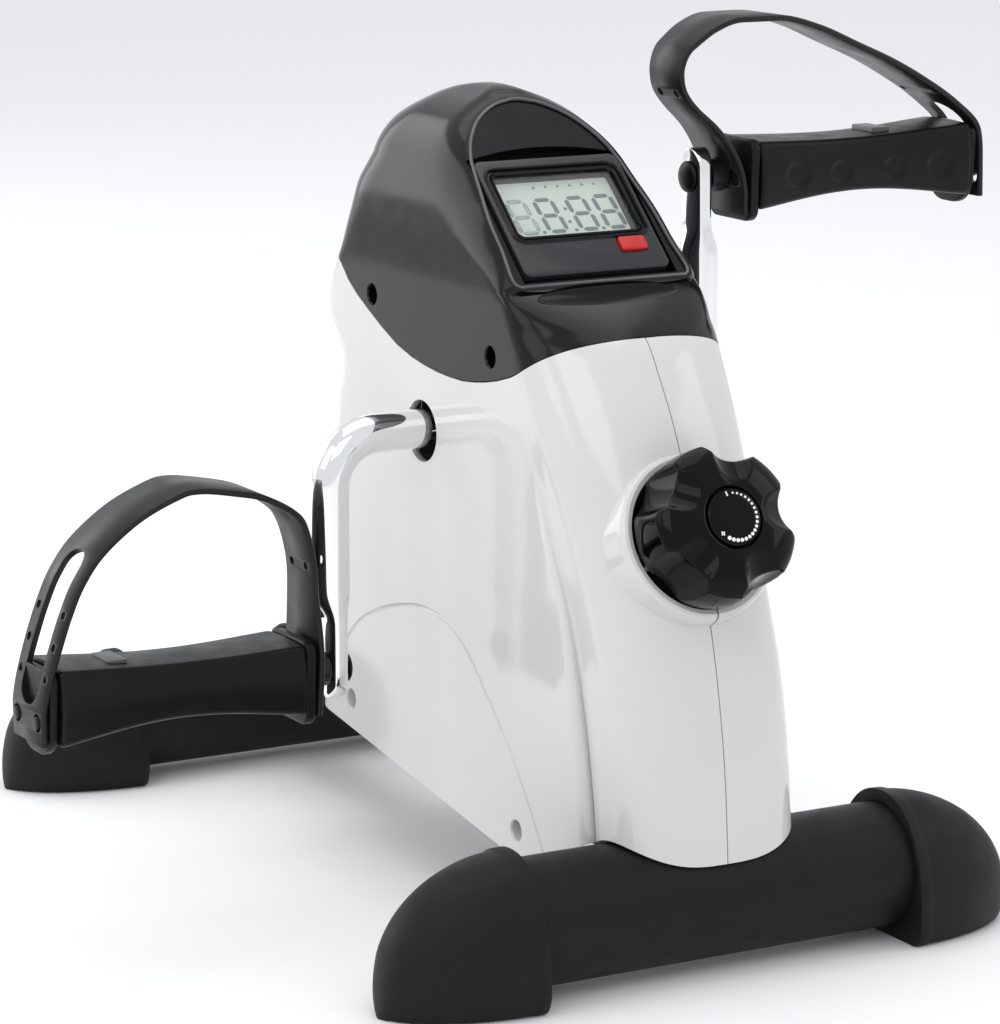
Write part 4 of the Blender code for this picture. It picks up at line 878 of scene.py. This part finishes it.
# ---- cranks and pedals
def make_crank(side, word):
    """The bent bar, swept through stations of (X, drop, turn, flatness), and the low nut at its end."""
    bend, radius, sides = 0.021, 0.008, 56
    stations = [(x, 0.0, 0.0, 0.0) for x in (0.0265, 0.0272, 0.04, 0.052, CRANK_X - bend)]
    for i in range(1, 17):
        turn = pi / 2 * i / 16
        stations.append((CRANK_X - bend + bend * sin(turn), bend * (1 - cos(turn)), turn, 0.0))
    stations += [(CRANK_X, drop, pi / 2, 0.0) for drop in (0.035, 0.05, 0.062)]
    for i in range(1, 11):
        t = i / 10
        smooth = t * t * (3 - 2 * t)
        stations.append((CRANK_X, 0.062 + 0.014 * t, pi / 2, smooth))
    end = CRANK + 0.012
    stations += [(CRANK_X, drop, pi / 2, 1.0) for drop in (0.082, 0.09, CRANK, CRANK + 0.0045)]
    stations += [(CRANK_X, end - 0.0075 * (1 - sin(t)), pi / 2, 1.0 + (1 - cos(t)))
                 for t in np.linspace(0.1, pi / 2 - 0.06, 9)]
    rows = []
    for n, (x, drop, turn, flat) in enumerate(stations):
        row = []
        for k in range(sides):
            a = 2 * pi * k / sides
            f = min(flat, 1.0)
            shrink = max(2.0 - flat, 0.0) if flat > 1 else 1.0
            c, s = cos(a), sin(a)
            px = (1 - f) * radius * c + f * 0.0039 * np.sign(c) * abs(c) ** 0.42
            py = ((1 - f) * radius * s + f * 0.0074 * np.sign(s) * abs(s) ** 0.62) * shrink
            if n == 0:
                px, py = px * 0.9, py * 0.9
            mid = x - 0.0013 * f
            row.append((side * (mid + px * sin(turn)), AXLE_Y + py, AXLE_Z + side * (drop - px * cos(turn))))
        rows.append(row)
    crank = grid(f"crank_bar_{word}", rows, CHROME, wrap=True, ends=True, sharp=48)
    stand_in(crank, f"crank_{word}", "crank_set")
    place = Matrix.Translation((side * 0.0808, AXLE_Y, PIVOT[side])) @ along((-side, 0, 0))
    profile = ((0.0, 0.0), (0.0064, 0.0), (0.0066, 0.0003), (0.0064, 0.0008), (0.0058, 0.0013),
               (0.0045, 0.0018), (0.0025, 0.0021), (0.0, 0.0022))
    nut = lathe(f"pedal_cap_nut_{word}", profile, place, PEDAL, 48)
    stand_in(nut, f"pedal_nut_{word}", "crank_set")


def dent(x, z):
    """How far the grip's finger rounds are pressed in at a point of its front."""
    depth = 0.0
    for at, size in ((0.1245, 0.0066), (0.147, 0.0056), (0.1735, 0.0056), (0.196, 0.0066)):
        away = hypot(x - at, z * 1.15) / size
        if away < 1:
            depth += 0.0011 * min((1 - away) * 5, 1.0)
    return depth


def make_pedal(side, word):
    z0 = PIVOT[side]
    rows = []
    edge = 0.0026
    for share in np.linspace(0, 1, 121):
        waist = sin(pi * share) ** 1.15
        half = 0.01725 - 0.0026 * waist
        top, low = 0.0147 + 0.0022 * share - 0.0021 * waist, -0.01375 + 0.005 * waist
        x = 0.106 + 0.105 * share
        ease = min(share, 1 - share) / 0.012
        trim = 0.0008 * max(1 - ease, 0) ** 2
        corners = ((half - edge, top - edge, 0), (-half + edge, top - edge, 90),
                   (-half + edge, low + edge, 180), (half - edge, low + edge, 270))
        row = []
        for q, (cy, cz, first) in enumerate(corners):
            for i in range(7):
                turn = radians(first + 15 * i)
                row.append((cy + (edge - trim) * cos(turn), cz + (edge - trim) * sin(turn)))
            ny, nz, _ = corners[(q + 1) % 4]
            last = row[-1]
            turn = radians(first + 90)
            nxt = (ny + (edge - trim) * cos(turn), nz + (edge - trim) * sin(turn))
            for i in range(1, 16):
                y, z = last[0] + (nxt[0] - last[0]) * i / 16, last[1] + (nxt[1] - last[1]) * i / 16
                swell = sin(pi * i / 16)
                if q == 0:
                    z += 0.0006 * swell
                if q == 1:
                    y -= 0.0012 * swell - (dent(x, z) if side == RIGHT else 0.0)
                if q == 3:
                    y += 0.0012 * swell - (dent(x, z) if side == LEFT else 0.0)
                row.append((y, z))
        rows.append([(side * x, AXLE_Y + y, z0 + z) for y, z in row])
    body = grid(f"pedal_grip_{word}", rows, PEDAL, wrap=True, ends=True, sharp=50)
    clip_x = 0.183 if side == LEFT else 0.172
    clip = prism("clip", rounded(0.0085, 0.017, 0.0012, (side * clip_x, AXLE_Y + 0.001)),
                 Matrix.Translation((0, 0, z0)), 0.012, 0.0163, CLIP, 0.0004)
    join(body, clip)
    stand_in(body, f"pedal_body_{word}", f"pedal_{word}")
    for kind, (x0, x1), outward in (("inner", (0.1013, 0.1056), -1), ("outer", (0.2114, 0.2152), 1)):
        place = Matrix.Translation((0, AXLE_Y, z0)) @ sideways(side)
        if kind == "inner":
            outline = plate_outline(0.0172, 0.0158, 0.0186, 0.0055)
        else:
            outline = plate_outline(0.0158, 0.0162, 0.0182, 0.0115)
        plate = prism(f"pedal_{kind}_cheek_{word}", outline, place, x0, x1, PEDAL, 0.0009, 3)
        face = x1 if outward > 0 else x0
        pegs = []
        for y in (-0.0098, 0.0098):
            z = 0.0 if kind == "inner" else -0.004
            base = Vector((side * (face - outward * 0.001), AXLE_Y + y, z0 + z))
            tip = base + Vector((side * outward * 0.0052, 0, 0))
            pegs.append(rod("peg", 0.003, base, tip, PEDAL, 32, 0.0026, 0.0005))
        hub = rod("hub", 0.0078, (side * x0, AXLE_Y, z0),
                  (side * (face + outward * 0.0002), AXLE_Y, z0), PEDAL, 40)
        join(plate, *pegs, hub)
        stand_in(plate, f"pedal_{kind}_plate_{word}", f"pedal_{word}")
    make_strap(side, word, z0)


def plate_outline(half, top, low, round_low):
    """A pedal's end plate: small round corners above, larger ones below."""
    points = []
    corner = 0.005
    for cy, cz, r, first in ((half - corner, top - corner, corner, 0),
                             (-half + corner, top - corner, corner, 90),
                             (-half + round_low + 0.001, -low + round_low, round_low, 180),
                             (half - round_low - 0.001, -low + round_low, round_low, 270)):
        for i in range(9):
            turn = radians(first + 90 * i / 8)
            points.append((cy + r * cos(turn), cz + r * sin(turn)))
    return points


# Each strap's worn-in line, as (distance from the middle plane, height above the pedal's axle).
STRAP_PATH = {
    LEFT: ((0.0992, -0.015), (0.0985, -0.002), (0.098, 0.0144), (0.0986, 0.031), (0.0994, 0.0462),
           (0.1031, 0.0609), (0.1083, 0.0681), (0.121, 0.0754), (0.1338, 0.0789), (0.1505, 0.0816),
           (0.1587, 0.0805), (0.1757, 0.0732), (0.1915, 0.0615), (0.2005, 0.05), (0.206, 0.0385),
           (0.2104, 0.0265), (0.214, 0.015), (0.2163, 0.006), (0.2173, -0.002), (0.2173, -0.013)),
    RIGHT: ((0.0993, -0.015), (0.0988, -0.0035), (0.0944, 0.0092), (0.0867, 0.0202), (0.0771, 0.0292),
            (0.0716, 0.0364), (0.0701, 0.0442), (0.0723, 0.0518), (0.0767, 0.0561), (0.0858, 0.062),
            (0.0976, 0.0652), (0.1144, 0.0652), (0.134, 0.0608), (0.154, 0.0525), (0.1742, 0.0437),
            (0.1949, 0.0323), (0.2078, 0.0233), (0.2152, 0.0166), (0.2177, 0.0094), (0.2186, -0.003),
            (0.2192, -0.015))}


def make_strap(side, word, z0):
    """A flat strip with its slot and holes, bent to the strap's line afterwards."""
    points = STRAP_PATH[side]
    xs = curve([(i, p[0]) for i, p in enumerate(points)])
    zs = curve([(i, p[1]) for i, p in enumerate(points)])
    fine = np.linspace(0, len(points) - 1, 900)
    px, pz = xs(fine), zs(fine)
    length = np.r_[0, np.cumsum(np.hypot(np.diff(px), np.diff(pz)))]
    even = np.linspace(0, length[-1], 150)
    px, pz = np.interp(even, length, px), np.interp(even, length, pz)
    dx, dz = np.gradient(px), np.gradient(pz)
    size = np.hypot(dx, dz)
    nx, nz = -dz / size, dx / size
    total = length[-1]
    wide = curve(((0.0, 0.0158), (0.02, 0.0165), (0.032, 0.015), (0.05, 0.0125), (0.066, 0.0124),
                  (0.09, 0.0145), (0.12, 0.016), (total - 0.045, 0.016), (total - 0.018, 0.0154),
                  (total, 0.0146)))
    thick = 0.0024
    rows = []
    for reach in even:
        half = float(wide(reach))
        ring = [(1, -half + 0.0006), (1, half - 0.0006), (0.6, half - 0.0001), (0, half),
                (-0.6, half - 0.0001), (-1, half - 0.0006), (-1, -half + 0.0006),
                (-0.6, -half + 0.0001), (0, -half), (0.6, -half + 0.0001)]
        rows.append([(reach, y, thick / 2 * level) for level, y in ring])
    strap = grid(f"strap_band_{word}", rows, STRAP, wrap=True, ends=True, sharp=50)

    def holes(reaches, y, radius, sides):
        return [rod("hole", radius, (reach, way * y, -0.005), (reach, way * y, 0.005), None, sides)
                for reach in reaches for way in (-1, 1)]

    slot_low, slot_high = total - 0.0145, total - (0.078 if side == LEFT else 0.046)
    slot = rounded(slot_low - slot_high, 0.016, 0.0075, ((slot_low + slot_high) / 2, 0))
    back = (0.0265, 0.039, 0.052) if side == LEFT else (0.0265, 0.056)
    cutters = [prism("slot", slot, Matrix.Identity(4), -0.005, 0.005, None)]
    cutters += holes([total - d for d in back], 0.012, 0.0017, 20)
    cutters += holes([0.06], 0.0062, 0.0017, 20)
    cutters += holes([0.015, total - 0.009], 0.0098, 0.0036, 24)
    cut(strap, *cutters)
    for vert in strap.data.vertices:
        reach, y, rise = vert.co
        x = np.interp(reach, even, px) + np.interp(reach, even, nx) * rise
        z = np.interp(reach, even, pz) + np.interp(reach, even, nz) * rise
        vert.co = (side * x, AXLE_Y + y, z0 + z)
    if side == LEFT:
        strap.data.flip_normals()
    bake(strap, 45)
    stand_in(strap, f"strap_{word}", f"pedal_{word}")


# ---- CAD nodes that stay
def finish_nodes():
    looks = {"frame_beam": PAINT, "frame_plate_left": PAINT, "frame_plate_right": PAINT,
             "reed_sensor": DARK, "brake_drum": IRON, "brake_band": FELT, "tension_nut": BRASS,
             "module_case": BEZEL, "circuit_board": BOARD,
             "pedal_spindle_left": DARK_STEEL, "pedal_spindle_right": DARK_STEEL}
    for name, node in NODES.items():
        look = looks.get(name, PAINT if name.startswith(("cover_screw", "foot_bolt")) else STEEL)
        node.data.materials.clear()
        node.data.materials.append(look)


# ---- stage
def area(name, place, target, size, power, size_y=None):
    """A soft lamp at place that shines at target."""
    lamp = bpy.data.lights.new(name, "AREA")
    lamp.energy = power
    lamp.size = size
    if size_y:
        lamp.shape = "RECTANGLE"
        lamp.size_y = size_y
    obj = bpy.data.objects.new(name, lamp)
    bpy.context.scene.collection.objects.link(obj)
    obj.location = place
    aim(obj, target)


def aim(obj, target):
    obj.rotation_euler = (Vector(target) - obj.location).to_track_quat("-Z", "Y").to_euler()


def make_stage():
    bpy.context.scene.view_settings.view_transform = "Standard"
    floor = prism("floor", rounded(9.0, 9.0, 0.5), Matrix.Identity(4), -0.02, -0.0002,
                  surface("pale_floor", (0.93, 0.93, 0.93), 0.65, grain=60, bump=0.02, vary=0.01))
    world = bpy.data.worlds.new("studio")
    bpy.context.scene.world = world
    world.use_nodes = True
    back = world.node_tree.nodes["Background"]
    back.inputs["Color"].default_value = (0.95, 0.97, 1.0, 1)
    back.inputs["Strength"].default_value = 0.88
    area("key", (-1.3, -1.5, 1.9), (0, 0, 0.15), 1.3, 8.5)
    area("side", (1.6, -1.0, 1.1), (0, 0, 0.15), 0.9, 3)
    area("left", (-1.9, -0.1, 1.4), (0, 0, 0.25), 1.2, 6)
    area("top", (0.1, 0.3, 2.1), (0, 0, 0.1), 1.8, 11)
    area("rim", (-1.1, 1.9, 0.9), (0, 0, 0.2), 2.0, 15, size_y=1.4)
    camera = bpy.data.cameras.new("camera")
    camera.lens = 142.34
    camera.sensor_width = 36.0
    view = bpy.data.objects.new("camera", camera)
    bpy.context.scene.collection.objects.link(view)
    view.location = (-0.7997, -1.4566, 0.4913)
    aim(view, (-0.02, -0.058, 0.1578))
    bpy.context.scene.camera = view


make_stage()
make_feet()
for side, word in SIDES:
    make_shell(side, word)
    make_crank(side, word)
    make_pedal(side, word)
make_cover()
make_display()
make_knob()
finish_nodes()
